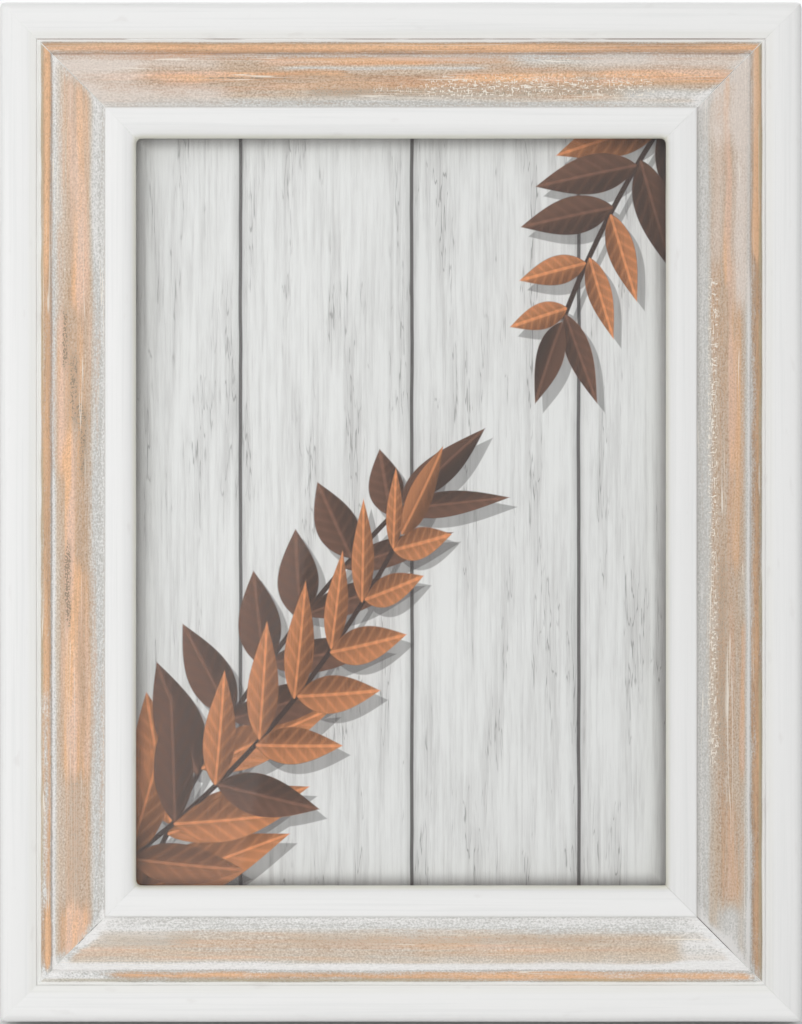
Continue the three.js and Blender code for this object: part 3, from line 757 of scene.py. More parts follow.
def worn(marks, kind, along, across):
    """How strongly marks of one kind show at a place on a rail, both in millimetres."""
    stray = 0.45 * noise.noise(Vector((along / 16, across / 9, len(kind))))
    total = 0.0
    for mark, start, end, middle, half, strength in marks:
        if mark == kind:
            ends = smooth_step(start - WEAR_FADE, start + WEAR_FADE, along)
            ends *= 1 - smooth_step(end - WEAR_FADE, end + WEAR_FADE, along)
            total += strength * ends * math.exp(-(((across - middle + stray) / half) ** 2))
    return total


def rail_bar(m, length):
    """Mitred bar of moulding along X, grown ring by ring, with its outer edge on the X axis."""
    bm = bmesh.new()
    half = length / 2
    ring = [bm.verts.new((u - half, -h, u)) for u, h in moulding_section(m)]
    edges = [bm.edges.new(pair) for pair in zip(ring, ring[1:] + ring[:1])]
    steps = round(length / m.ring_step)
    seam = m.mitre_groove * 2 / length
    shares = [seam, *[i / steps for i in range(1, steps)], 1 - seam, 1]
    for reached in shares:
        edges, verts = grow(bm, edges)
        for vert in verts:
            vert.co.x = (half - vert.co.z) * (2 * reached - 1)
    close_ends(bm)
    return bm


def sand_rail(bm, m, side, length):
    """Notes each point's place in the wood and its wear, then strays from the straight as handwork does."""
    wood_place = bm.verts.layers.float_vector.new("wood_place")
    layers = {kind: bm.verts.layers.float.new(kind) for kind in WEAR_KINDS}
    bm.normal_update()
    half = length / 2
    _, bead, _, band = member_places(m)
    forward = 1 if READS_FORWARD[side] else -1
    seed = len(side) * 7.3
    moves = []
    for vert in bm.verts:
        x, across, height = vert.co.x, vert.co.z, -vert.co.y
        along = half + forward * x
        vert[wood_place] = (along, across, height)
        a, u, h = along / MM, across / MM, height / MM
        front = height > m.rebate_depth + m.back_arris
        for kind, layer in layers.items():
            vert[layer] = worn(WEAR[side], kind, a, u) if front else 0.0
        rubbed = smooth_step(bead, bead + 1, u) * (1 - smooth_step(band - 0.6, band, u))
        stray = m.waver * noise.noise(Vector((a / 24 + seed, u / 7, h / 7)))
        grain = m.relief * noise.noise(Vector((a / 26, u / 0.8 + seed, h / 0.8))) * rubbed
        gap = half - across - abs(x)
        groove = m.mitre_groove * (0.15 + 0.85 * rubbed) * (1 - smooth_step(0, m.mitre_groove * 1.6, gap))
        flat = Vector((0, vert.normal.y, vert.normal.z)).normalized()
        moves.append((vert, flat * ((stray + grain) * front - groove)))
    for vert, move in moves:
        vert.co += move


# The sight edge's lower right corner is sharp: the end of the right rail and of the bottom rail
SHARP_CORNERS = {("right", False), ("bottom", False)}


def set_back(radius, distance):
    """How far a rounded corner stands back from a sharp one, at a distance from it along the edge."""
    nearest = radius * (1 - math.sqrt(0.5))
    reach = radius - min(max(distance, nearest), radius)
    return radius - math.sqrt(radius**2 - reach**2)


def round_rail_ends(bm, m, side, length):
    """Paint in the corners of the sight edge, and the frame's rubbed outer corners."""
    half = length / 2
    forward = 1 if READS_FORWARD[side] else -1
    for vert in bm.verts:
        at_start = forward * vert.co.x < 0
        fillet = m.corner_fillet * (0.25 if (side, at_start) in SHARP_CORNERS else 1)
        inward = smooth_step(MOULDING_WIDTH - m.band_roll * 0.5, MOULDING_WIDTH, vert.co.z)
        if vert.co.y < -m.rebate_depth / 2:
            vert.co.z += inward * set_back(fillet, half - MOULDING_WIDTH - abs(vert.co.x))
        outward = 1 - smooth_step(0, m.rim_round, vert.co.z)
        vert.co.z += outward * set_back(m.corner_round, half - abs(vert.co.x))
        limit = half - vert.co.z
        vert.co.x = min(max(vert.co.x, -limit), limit)


# How each rail was rubbed: seed of its grain; where the rim's white ends and where the grey begins before
# the step, in millimetres from the outer edge; paint left overall and in the hollow beside the bead; brown
# of the bead, dust and rust in the grain, contrast of the grit; grime and painted shade in the quirk, in
# the hollow and at the step; olive tint along the bead; painted shade that darkens all the paint; and for
# its first and last mitre the paint that has gathered there and how far it has cracked
RUBBING = {
    "left": {
        "seed": 3.1, "rim": 9.35, "grey": 21.6, "paint": -0.02, "gutter": 0.0,
        "bead": 0.1, "dust": 0.0, "rust": 0.0, "grit": 0.7, "quirk": 0.12, "hollow": 0.35, "step": 0.2,
        "olive": 0.55, "shade": 1.0, "mitres": ((0.2, 0.1), (0.5, 0.4)),
    },
    "top": {
        "seed": 17.7, "rim": 9.1, "grey": 22.8, "paint": -0.04, "gutter": -0.4,
        "bead": 0.1, "dust": 0.1, "rust": 0.6, "grit": 1.1, "quirk": 1.0, "hollow": 0.6, "step": 0.05,
        "olive": 0.1, "shade": 0.99, "mitres": ((0.2, 0.2), (0.3, 0.25)),
    },
    "right": {
        "seed": 29.4, "rim": 9.1, "grey": 21.6, "paint": 0.06, "gutter": 0.0,
        "bead": 0.65, "dust": 0.25, "rust": 0.25, "grit": 0.9, "quirk": 0.05, "hollow": 0.25, "step": 0.2,
        "olive": 0.8, "shade": 0.965, "mitres": ((0.3, 0.25), (0.45, 0.75)),
    },
    "bottom": {
        "seed": 41.9, "rim": 9.1, "grey": 21.0, "paint": 0.28, "gutter": 0.05,
        "bead": 0.1, "dust": 0.0, "rust": 0.0, "grit": 0.7, "quirk": 0.15, "hollow": 0.1, "step": 0.05,
        "olive": 0.6, "shade": 1.0, "mitres": ((0.5, 0.4), (0.45, 0.65)),
    },
}

# Paint kept on bead and field: distance from the outer edge in millimetres, share
PAINT_KEPT = [
    (8.8, 1.0),
    (9.1, 0.8),
    (9.5, 0.28),
    (10.5, 0.2),
    (11.4, 0.25),
    (11.8, 0.65),
    (12.1, 1.0),
    (12.5, 0.95),
    (13.1, 0.68),
    (14.2, 0.52),
    (16.0, 0.4),
    (18.5, 0.36),
    (20.3, 0.52),
    (21.8, 0.86),
    (24.0, 1.0),
]


class RailFinish:
    """Nodes for the finish of one rail. Places are in millimetres: along the rail, from its outer edge, and
    over its back face."""

    def __init__(self, graph, side, length, m, paint):
        self.graph = graph
        self.rubbing = RUBBING[side]
        self.tints = {name: linear(getattr(paint, name)) for name in FramePaint.__annotations__}
        self.quirk, self.bead, self.field, self.band = member_places(m)
        scaled = graph.add("ShaderNodeVectorMath", operation="SCALE")
        graph.feed(scaled.inputs[0], graph.attribute("wood_place", "Vector"))
        scaled.inputs["Scale"].default_value = 1 / MM
        self.along, self.across, self.height = graph.split(Value(graph, scaled.outputs[0]))
        self.from_end = self.along.least(self.along * -1.0 + length / MM)
        self.wear = {kind: graph.attribute(kind) for kind in WEAR_KINDS}
        self.on_bead = self.across.within(self.bead + 0.15, self.field, 0.2)

        self.streak = self.grain(46, 1.3, 5, 0.6)
        self.tone = self.grain(60, 3.0, 3, 0.5, 11)
        self.fibre = self.grain(3.2, 0.26, 3, 0.6, 23)
        self.grit = self.grain(0.5, 0.42, 1, 0.6, 31)
        self.pore = self.grain(1.6, 0.2, 1, 0.5, 41)
        self.stroke = self.grain(60, 0.9, 4, 0.6, 53)
        self.cloud = self.grain(10, 3.4, 3, 0.5, 67)

        # Mitres: paint that has gathered, and a hairline that has cracked
        (first_paint, first_crack), (last_paint, last_crack) = self.rubbing["mitres"]
        middle = length / MM / 2
        later = self.along.rise(middle - 1, middle + 1)
        heaped = later * (last_paint - first_paint) + first_paint
        self.mitre_gap = self.from_end - self.across
        self.gathered = (self.mitre_gap + (self.cloud - 0.5) * 5.0).fall(0.0, 4.0) * heaped
        self.cracked = later * (last_crack - first_crack) + first_crack

        # Solid paint on rim and band
        rim_edge = self.across + (self.grain(16, 5, 2, 0.5, 97) - 0.5) * 0.7
        on_rim = rim_edge.fall(self.rubbing["rim"] - 0.2, self.rubbing["rim"] + 0.2)
        self.solid = on_rim.most(self.across.rise(self.band - 0.4, self.band + 0.3))

    def grain(self, stretch, width, detail=4.0, roughness=0.6, shift=0.0):
        """Noise whose marks are so many millimetres long and wide, along the wood."""
        start = self.along / stretch + (self.rubbing["seed"] + shift)
        return self.graph.noise(start, self.across / width, self.height / width, detail, roughness)

    def over(self, share_of_tint, under, tint):
        """A colour that is covered by one of the settings' colours, as far as the share says."""
        return self.graph.mix(share_of_tint, under, self.tints[tint])

    def film(self):
        """Thickness of the paint that is left on bead and field."""
        film = self.graph.curve(self.across, PAINT_KEPT)
        film = film + (self.streak - 0.5) * 1.1 + (self.tone - 0.5) * 0.5
        film = film + self.wear["paint"] + self.gathered + self.rubbing["paint"] - self.wear["clean"] * 0.5
        film = film + self.across.within(self.field, self.field + 1.4, 0.3) * self.rubbing["gutter"]
        return film + self.on_bead * (self.grain(9, 1.4, 3, 0.6, 131) - 0.5) * 0.9

    def bare_wood(self):
        """Sanded wood from pink to tan, with rust, pores and specks."""
        clean = self.wear["clean"]
        in_field = self.across.rise(self.field - 0.8, self.field + 0.2)
        pinkish = self.grain(30, 2.2, 2, 0.5, 61).rise(0.4, 0.62) * in_field
        wood = self.over(pinkish, self.tints["clean_wood"], "pink_wood")
        tan_tone = (self.tone - 0.5) * 1.8 + (self.streak - 0.5) * 1.2 + 0.66 - clean * 0.75
        tan_share = tan_tone.rise(0.05, 0.75)
        wood = self.over(tan_share, wood, "tan_wood")
        rusty = self.grain(26, 0.9, 4, 0.6, 113).rise(0.46, 0.62) * self.rubbing["rust"]
        wood = self.over(rusty, wood, "rust_wood")
        bead_tone = self.grain(15, 4.0, 3, 0.6, 127).rise(0.3, 0.7) * 0.8 + 0.5
        bead = self.on_bead * bead_tone * self.rubbing["bead"] * clean.fall(0.5, 1.2)
        specks = self.pore.rise(0.46, 0.68) * 0.6 + self.grit.rise(0.5, 0.74) * 0.55
        bead_specks = self.on_bead * self.grain(1.5, 0.3, 2, 0.6, 137).rise(0.56, 0.7) * 0.4
        browned = tan_share * specks + bead * 0.6 + bead_specks
        wood = self.over(browned.least(0.9), wood, "brown_wood")
        return self.graph.mix(1.0, wood, self.fibre * 0.2 + 0.9, "MULTIPLY")

    def rubbed_paint(self):
        """Bare wood under what is left of the paint, with dust, grit and dark streaks in its grain."""
        film, fibre, grit, pore = self.film(), self.fibre - 0.5, self.grit - 0.5, self.pore - 0.5
        cloud, stroke = self.cloud - 0.5, self.stroke - 0.5
        covered = (film + fibre * 0.6 + grit * 0.8).rise(0.02, 1.0)
        thick = (film + grit * 0.9 + fibre * 0.5).rise(0.9, 1.5)
        wash_tone = stroke * 1.2 + grit * 1.8 + pore * 1.2 + 0.42
        wash = self.over(wash_tone.rise(0.0, 1.0), self.tints["wash"], "wash_light")
        wash = self.over(thick, wash, "white")
        wavering = self.across + (self.tone - 0.5) * 3.0
        in_field = wavering.within(self.field + 1.2, self.rubbing["grey"] - 0.6, 0.9)
        in_field = in_field * self.gathered.fall(0.0, 0.35) * self.wear["paint"].fall(0.2, 0.7)
        wash = self.over(in_field * (cloud + stroke * 1.5 + 0.85).least(1.0), wash, "wash_warm")
        rubbed = self.graph.mix(covered * 0.95, self.bare_wood(), wash)

        veil = self.wear["limed"] * (cloud * 1.2 + fibre * 0.8 + grit * 0.8 + 1.0)
        rubbed = self.over(veil.least(0.92), rubbed, "limed")
        unveiled = self.wear["limed"].fall(0.2, 0.9)
        coarse = (in_field * unveiled * 0.75 + self.on_bead * 0.3 + 0.35) * self.rubbing["grit"]
        rubbed = self.graph.mix(1.0, rubbed, grit * coarse + pore * 0.3 + 1.0, "MULTIPLY")
        streaked = self.wear["dark"] * (grit * 5.0 + fibre * 2.0 + 1.0)
        rubbed = self.over(streaked.rise(0.2, 1.1) * 0.9, rubbed, "dark_grain")
        dusty = (grit * 1.2 + pore * 1.2 + 0.5).rise(0.0, 1.0)
        return self.over(dusty * unveiled * self.rubbing["dust"], rubbed, "dark_grain")

    def chipped_paint(self):
        """Rubbed paint with tints along the bead, chips across the grain and hairline scratches."""
        edge = self.grain(22, 5, 2, 0.5, 71).rise(0.3, 0.6) * self.rubbing["olive"]
        olive = self.across.within(self.bead - 0.05, self.bead + 0.7, 0.25) * edge
        rubbed = self.over(olive, self.rubbed_paint(), "olive")
        # Grime and painted shade in the hollow where the bead meets the field
        grime_and_painted_shade = self.grain(9, 5, 3, 0.6, 77).rise(0.36, 0.6) * self.rubbing["hollow"]
        hollow = self.across.within(self.field - 0.08, self.field + 0.18, 0.14) * grime_and_painted_shade
        rubbed = self.over(hollow, rubbed, "grime_and_shade_tint")
        flecks = self.wear["flecks"]
        chips = self.grain(1.3, 0.32, 1, 0.5, 73).most(self.grain(0.36, 0.8, 1, 0.5, 79))
        chipped = (chips + flecks * 0.06).rise(0.63, 0.73) * flecks.rise(0.1, 0.7) * 0.9
        hair = ((self.grain(70, 1.1, 1, 0.4, 83) - 0.5).size() * 60.0).fall(0.3, 1.0)
        hair = hair * self.grain(34, 3.0, 1, 0.5, 89).rise(0.56, 0.62)
        return self.over(chipped.most(hair * 0.7), rubbed, "fleck")

    def solid_white(self):
        """Brushed white paint, warmer beside the quirk and at the sight edge."""
        sight_edge = MOULDING_WIDTH / MM
        white = self.over(self.stroke.rise(0.45, 0.7) * 0.45, self.tints["white"], "white_shade")
        # Thick paint in the quirk, whiter than the rest as a painted highlight along the bead's outer edge
        white = self.over(self.across.within(self.quirk + 0.3, self.bead, 0.3), white, "bright")
        warm = self.across.within(self.quirk - 1.8, self.quirk + 0.1, 0.6) * 0.15
        warm = warm + self.across.rise(sight_edge - 1.2, sight_edge) * 0.7
        white = self.over(warm, white, "cream")
        return self.over(self.cloud.rise(0.64, 0.76) * 0.1, white, "grime_and_shade_tint")

    def front(self):
        """Painted front, with grime and painted shade in the quirk and at the step, and mitre hairlines."""
        front = self.graph.mix(self.solid, self.chipped_paint(), self.solid_white())
        # Grime and painted shade in the quirk and at the foot of the step, set for each rail
        quirk_grime_and_shade = self.across.within(self.quirk - 0.02, self.quirk + 0.15, 0.08)
        quirk_grime_and_shade = quirk_grime_and_shade * self.grain(20, 6, 2, 0.5, 101).rise(0.46, 0.56)
        step_grime_and_shade = self.across.within(self.band - 0.22, self.band - 0.02, 0.08)
        step_grime_and_shade = step_grime_and_shade * (self.grain(26, 6, 2, 0.5, 103).rise(0.3, 0.6) * 0.6 + 0.4)
        grime_and_painted_shade = quirk_grime_and_shade * self.rubbing["quirk"] + step_grime_and_shade * self.rubbing["step"]
        front = self.over(grime_and_painted_shade, front, "grime_and_shade_tint")

        seam = self.mitre_gap.fall(0.06, 0.22) * (self.solid * -0.8 + 1.0)
        opened = (self.grain(2.2, 2.2, 2, 0.6, 107) + self.cracked - 0.75).rise(0.1, 0.3)
        opened = opened * self.across.rise(self.field + 2.7, self.field + 5.7)
        front = self.graph.mix(seam * 0.8, front, self.over(opened, self.tints["bright"], "crack"))
        # Painted shade: all the paint is darkened by the rail's shade value, most on the right rail,
        # standing in for light that falls off to the right
        painted_shade_level = self.rubbing["shade"] ** 2.2
        return self.graph.mix(1.0, front, (painted_shade_level, painted_shade_level, painted_shade_level, 1.0), "MULTIPLY")

    def raw_back(self, nails):
        """Unpainted wood with sprayed edges and the slots of the V-nails."""
        rings = self.grain(120, 1.6, 3, 0.5, 109)
        raw = self.over(rings.rise(0.44, 0.62) * 0.7, self.tints["raw_wood"], "raw_grain")
        raw = self.over(self.pore.rise(0.55, 0.7) * 0.4, raw, "brown_wood")
        spray = (self.across.fall(0.5, 5.0) + (self.cloud - 0.5) * 1.2).rise(0.35, 0.9)
        raw = self.over(spray, raw, "white")
        for inset in (nails.outer / MM, nails.inner / MM):
            leg_end = inset + nails.leg / MM + 0.4
            slot = self.across.within(inset - 0.5, inset + 0.5, 0.1)
            slot = slot * self.from_end.within(inset - 0.5, leg_end, 0.1)
            raw = self.over(slot * 0.8, raw, "crack")
        return raw


def painted_wood(side, length, m, paint, nails):
    """White paint on rim and band, rubbed back to the wood on bead and field; raw wood at the back."""
    material, graph = new_material(f"painted_wood_{side}")
    rail = RailFinish(graph, side, length, m, paint)
    wall, depth = m.rebate_wall / MM, m.rebate_depth / MM
    in_rebate = rail.across.rise(wall - 0.2, wall - 0.05) * rail.height.fall(depth, depth + 0.25)
    bare = rail.height.fall(0.15, 0.5).most(in_rebate)
    tint = graph.mix(bare, rail.front(), rail.raw_back(nails))
    roughness = rail.solid * bare.inverse() * -0.2 + (rail.grit - 0.5) * 0.2 + 0.64
    relief = (rail.fibre * 0.06 + rail.grit * 0.03) * rail.solid.inverse() + rail.solid * rail.stroke * 0.02
    surface(graph, tint, roughness, relief)
    return material


class FRAME_OT_rails(Operator):
    """Four mitred rails of moulding in rubbed paint"""

    bl_idname = "picture_frame.rails"
    bl_label = "Rails"

    def execute(self, context):
        moulding = context.scene.frame_moulding
        paint = context.scene.frame_paint
        for side, (length, turn, corner) in RAILS.items():
            there = leaning_at(corner, turn)
            bm = rail_bar(moulding, length)
            sand_rail(bm, moulding, side, length)
            round_rail_ends(bm, moulding, side, length)
            shade(bm)
            wood = painted_wood(side, length, moulding, paint, context.scene.frame_nails)
            new_piece(f"painted_{side}_rail", bm, there, wood, "frame", "distressed_wood", f"{side}_rail")
        return {"FINISHED"}


# Glass and print


def clear_glass():
    """Clear picture glass that mirrors little of the room."""
    material, graph = new_material("picture_glass")
    fresnel = graph.add("ShaderNodeFresnel")
    fresnel.inputs["IOR"].default_value = 1.25
    clear = graph.add("ShaderNodeBsdfTransparent")
    clear.inputs["Color"].default_value = (0.985, 0.99, 0.988, 1)
    gloss = graph.add("ShaderNodeBsdfGlossy")
    gloss.inputs["Roughness"].default_value = 0.02
    show_mixed(graph, Value(graph, fresnel.outputs[0]), clear, gloss)
    return material


# Sprays of leaves on the print, in millimetres from the sheet's middle: root, heading in degrees, bend,
# length, distance between leaf pairs, leaf length, leaf width, share of copper leaves, seed
SPRAYS = [
    ((-60, -88), 68, -0.0020, 128, 14.5, 34, 12.0, 0.15, 3),
    ((-63, -80), 36, 0.0026, 112, 13.0, 29, 10.0, 0.8, 11),
    ((62, 92), 236, 0.0022, 74, 12.5, 28, 10.0, 0.4, 23),
]


def leaf_spray(graph, x, z, spray):
    """Pairs of pointed leaves along a bent stem, and one at its tip: how far a place is covered, the leaf's
    shade there, its tone, and the stem."""
    (root_x, root_z), heading, bow, length, pitch, leaf, width, copper, seed = spray
    turn = math.radians(heading)
    pairs = int(length / pitch)
    east, north = x - root_x, z - root_z
    along = east * math.cos(turn) + north * math.sin(turn)
    aside = north * math.cos(turn) - east * math.sin(turn) - along * along * bow
    covered, shade_of, tone = None, None, None
    for back in (1, 0):
        pair = (along / pitch).floor() - float(back)
        lot = pair * 2.0 + aside.side() + float(seed * 10)
        spread = graph.chance(lot) * 0.4 + 0.6
        size_of = (pair * (-0.5 * pitch / length) + 1.0) * (graph.chance(lot + 0.37) * 0.25 + 0.85)
        from_node = along - pair * pitch - graph.chance(lot + 0.61) * 3.0
        out = aside.size()
        down_leaf = (from_node * spread.cosine() + out * spread.sine()) / (size_of * leaf)
        across_leaf = out * spread.cosine() - from_node * spread.sine()
        inside = down_leaf.most(0.0).least(1.0)
        half = (inside.power(0.75) * math.pi).sine() * size_of * (width / 2)
        depth = half - across_leaf.size()
        there = depth.rise(0.0, 0.35) * pair.rise(-0.6, -0.4) * pair.fall(pairs - 0.6, pairs - 0.4)
        rib = across_leaf.size().fall(0.15, 0.5)
        veins = ((down_leaf * 46.0 - across_leaf.size() * 2.2).sine() * 0.5 + 0.5).power(3.0)
        lit = across_leaf.rise(-2.5, 2.5) * 0.5 + rib * 0.5 + veins * 0.2 + inside * 0.2
        pick = graph.chance(lot + 0.83).fall(copper - 0.02, copper + 0.02)
        if covered is None:
            covered, shade_of, tone = there, lit, pick
        else:
            shade_of = there * lit + there.inverse() * shade_of
            tone = there * pick + there.inverse() * tone
            covered = covered.most(there)
    tip = (pairs - 0.7) * pitch
    inside = ((along - tip) / (leaf * 0.7)).most(0.0).least(1.0)
    half = (inside.power(0.75) * math.pi).sine() * (width * 0.35)
    there = (half - aside.size()).rise(0.0, 0.35)
    lit = aside.rise(-2.5, 2.5) * 0.5 + aside.size().fall(0.15, 0.5) * 0.5
    shade_of = there * lit + there.inverse() * shade_of
    tone = there * round(copper) + there.inverse() * tone
    covered = covered.most(there)
    stem = aside.size().fall(0.45, 0.75) * along.within(0.0, tip, 1.0)
    return covered, shade_of, tone, stem


def printed_sheet(sheet):
    """Dried leaves in brown and copper on whitewashed upright boards, as a matt print."""
    material, graph = new_material("printed_sheet")
    x, _, z = graph.upright_place()
    z = z - FRAME_HEIGHT / MM / 2
    seams = (-37.0, 2.5, 41.0)
    board = None
    gap = None
    for seam in seams:
        beyond = x.rise(seam - 0.01, seam + 0.01)
        line_here = (x - seam - (graph.noise(z / 30, seam, 0.0, 2) - 0.5) * 0.8).size()
        here = line_here.fall(0.25, 0.5) + line_here.fall(0.0, 2.2) * 0.25
        board = beyond if board is None else board + beyond
        gap = here if gap is None else gap.most(here)

    def grain(width, stretch, detail, shift):
        return graph.noise(x / width + board * 13.7 + shift, z / stretch, board, detail, 0.65)

    streak = grain(1.1, 38, 6, 0.0)
    brush = grain(5.0, 60, 4, 7.0)
    fibre = grain(0.3, 6, 3, 19.0)
    crack = grain(1.6, 26, 2, 31.0)
    tint_share = (streak - 0.5) * 1.6 + (brush - 0.5) * 1.4 + (fibre - 0.5) * 0.7 + 0.42
    ground = graph.mix(tint_share.rise(0.1, 1.0), linear(sheet.board), linear(sheet.board_grey))
    cracked = ((crack - 0.5).size() * 60.0).fall(0.2, 1.0) * brush.rise(0.52, 0.6)
    ground = graph.mix(cracked * 0.45, ground, linear(sheet.seam))
    ground = graph.mix(gap.least(1.0) * 0.9, ground, linear(sheet.seam))

    for spray in SPRAYS:
        under, _, _, stem_under = leaf_spray(graph, x - 1.8, z + 2.2, spray)
        ground = graph.mix(under.most(stem_under) * sheet.shadow, ground, linear(sheet.seam))
    for spray in SPRAYS:
        covered, lit, tone, stem = leaf_spray(graph, x, z, spray)
        leaf = graph.mix(tone, linear(sheet.brown_leaf), linear(sheet.copper_leaf))
        leaf = graph.mix(1.0, leaf, lit * 1.0 + 0.25 + (fibre - 0.5) * 0.5, "MULTIPLY")
        ground = graph.mix(stem, ground, linear(sheet.twig))
        ground = graph.mix(covered, ground, leaf)
    # Painted shadow of the frame's sight edge, growing darker towards the sheet's edges
    inset = (x.size() * -1.0 + SIGHT_WIDTH / MM / 2).least(z.size() * -1.0 + SIGHT_HEIGHT / MM / 2)
    ground = graph.mix(inset.fall(-1.0, 3.6) * sheet.sight_edge_shadow, ground, linear(sheet.seam))
    surface(graph, ground, 0.55, fibre * 0.004)
    return material


class FRAME_OT_glazing(Operator):
    """Glass pane and the printed sheet behind it"""

    bl_idname = "picture_frame.glazing"
    bl_label = "Glass and print"

    def execute(self, context):
        finish_node("glass_pane", clear_glass())
        finish_node("print_insert", printed_sheet(context.scene.frame_print))
        return {"FINISHED"}


# Board and metal


def coated_board(finish):
    """Thin fibreboard with a dark matt coating, rolled on and scuffed, and bare brown edges."""
    material, graph = new_material("rolled_coat")
    x, y, z = graph.upright_place()
    felt = graph.noise(x / 0.5, y / 0.5, z / 0.5, 3, 0.6)
    scuff = graph.noise(x / 9, y / 9, z / 14, 5, 0.65)
    rolled = graph.noise(x / 2.2, y / 9, z / 70, 4, 0.6)
    specks = graph.noise(x / 0.8, y / 0.8, z / 0.8, 1, 0.5).rise(0.68, 0.76)
    scratch = ((graph.noise(x / 4 + z / 30, y / 9, z / 50, 1, 0.4) - 0.5).size() * 90.0).fall(0.3, 1.0)
    scratch = scratch * scuff.rise(0.5, 0.6)
    worn_share = scuff.rise(0.5, 0.72) * 0.45 + (rolled - 0.5) * 0.9 + (felt - 0.5) * 0.6
    tint = graph.mix(worn_share.rise(-0.1, 0.7), linear(finish.coat), linear(finish.coat_worn))
    tint = graph.mix((specks * 0.35).most(scratch * 0.25), tint, linear(finish.coat_dust))
    fibres = graph.mix(1.0, linear(finish.board_edge), felt * 0.7 + 0.65, "MULTIPLY")
    tint = graph.mix(graph.attribute("bare_edge"), tint, fibres)
    coat = surface(graph, tint, felt * 0.2 + 0.62, felt * 0.06 + rolled * 0.03)
    coat.inputs["Specular IOR Level"].default_value = 0.3
    return material


def zinc_steel(finish):
    """Zinc plating with handling marks."""
    material, graph = new_material("zinc_plate")
    x, y, z = graph.upright_place()
    stain = graph.noise(x / 3.5, y / 3.5, z / 3.5, 4, 0.6)
    brushed = graph.noise(x / 0.08, y / 2.0, z / 2.0, 2, 0.5)
    tint = graph.mix(stain.rise(0.42, 0.68), linear(finish.zinc), linear(finish.zinc_dull))
    surface(graph, tint, stain * 0.25 + brushed * 0.1 + 0.2, brushed * 0.006, metallic=1.0)
    return material


def made_once(name, make, finish):
    """A material that several operators share, under a name that the CAD frame doesn't use."""
    return bpy.data.materials.get(name) or make(finish)


def metal_piece(name, bm, there, body, *nodes):
    """A piece of zinc plated steel."""
    finish = bpy.context.scene.frame_back
    zinc = made_once("zinc_plate", zinc_steel, finish)
    return new_piece(name, bm, there, zinc, body, "zinc_steel", *nodes)


def board_piece(name, bm, there, body, *nodes):
    """A piece of coated board with eased edges, which are bare."""
    mark_bare_edges(bm)
    finish = bpy.context.scene.frame_back
    board = made_once("rolled_coat", coated_board, finish)
    ease_edges(new_piece(name, bm, there, board, body, "coated_board", *nodes), finish.board_arris)


def ease_edges(piece, width):
    """Rounds a piece's sharp edges."""
    arris = piece.modifiers.new("arris", "BEVEL")
    arris.width = width
    arris.segments = 2
    arris.limit_method = "ANGLE"
    arris.angle_limit = math.radians(40)
    arris.harden_normals = True


def thicken(piece, sheet):
    """Gives sheet metal its thickness, half to each side."""
    shell = piece.modifiers.new("sheet", "SOLIDIFY")
    shell.thickness = sheet
    shell.offset = 0
    shell.use_even_offset = True
    ease_edges(piece, bpy.context.scene.frame_back.sheet_arris)


def mark_bare_edges(bm):
    """Notes which faces of an upright board are its edges."""
    bare = bm.faces.layers.float.new("bare_edge")
    bm.normal_update()
    for face in bm.faces:
        face[bare] = 1.0 if abs(face.normal.y) < 0.5 else 0.0
        face.smooth = True


def flat_sheet(corners, y):
    """One upright face through corners in X and Z."""
    bm = bmesh.new()
    bm.faces.new([bm.verts.new((x, y, z)) for x, z in corners])
    return bm


def raise_faces(bm, thickness):
    """Makes a body of a sheet, by so much along Y."""
    grown = bmesh.ops.extrude_face_region(bm, geom=bm.faces[:])["geom"]
    lifted = [item for item in grown if isinstance(item, bmesh.types.BMVert)]
    bmesh.ops.translate(bm, vec=(0, thickness, 0), verts=lifted)
    bmesh.ops.recalc_face_normals(bm, faces=bm.faces)


def round_corners(bm, corners, radius):
    """Rounds those corners of a flat sheet that lie at the given places in X and Z."""
    near = [v for v in bm.verts if any(math.hypot(v.co.x - x, v.co.z - z) < 1e-6 for x, z in corners)]
    bmesh.ops.bevel(bm, geom=near, offset=radius, segments=8, profile=0.5, affect="VERTICES", material=-1)


def slit(bm, *places):
    """Divides a sheet at places along X."""
    for x in places:
        parts = [*bm.verts, *bm.edges, *bm.faces]
        bmesh.ops.bisect_plane(bm, geom=parts, plane_co=(x, 0, 0), plane_no=RIGHT)


def edges_at(bm, z, low, high):
    """Edges along X at a height, between two places either side of the middle."""
    found = []
    for edge in bm.edges:
        level = all(abs(vert.co.z - z) < 1e-6 for vert in edge.verts)
        middle = abs(sum(vert.co.x for vert in edge.verts)) / 2
        if level and low < middle < high:
            found.append(edge)
    return found


def draw_out(bm, edges, matrix):
    """Draws edges of a sheet out to a new place and returns them there."""
    edges, verts = grow(bm, edges)
    bmesh.ops.transform(bm, matrix=matrix, verts=list(verts))
    return edges


def roll(bm, edges, degrees, steps=20):
    """Rolls edges of a sheet round the X axis."""
    turn = Matrix.Rotation(math.radians(degrees / steps), 4, "X")
    for _ in range(steps):
        edges = draw_out(bm, edges, turn)


def smooth_sheet(bm):
    """Faces of one sheet, all turned the same way and smooth."""
    bmesh.ops.recalc_face_normals(bm, faces=bm.faces)
    for face in bm.faces:
        face.smooth = True


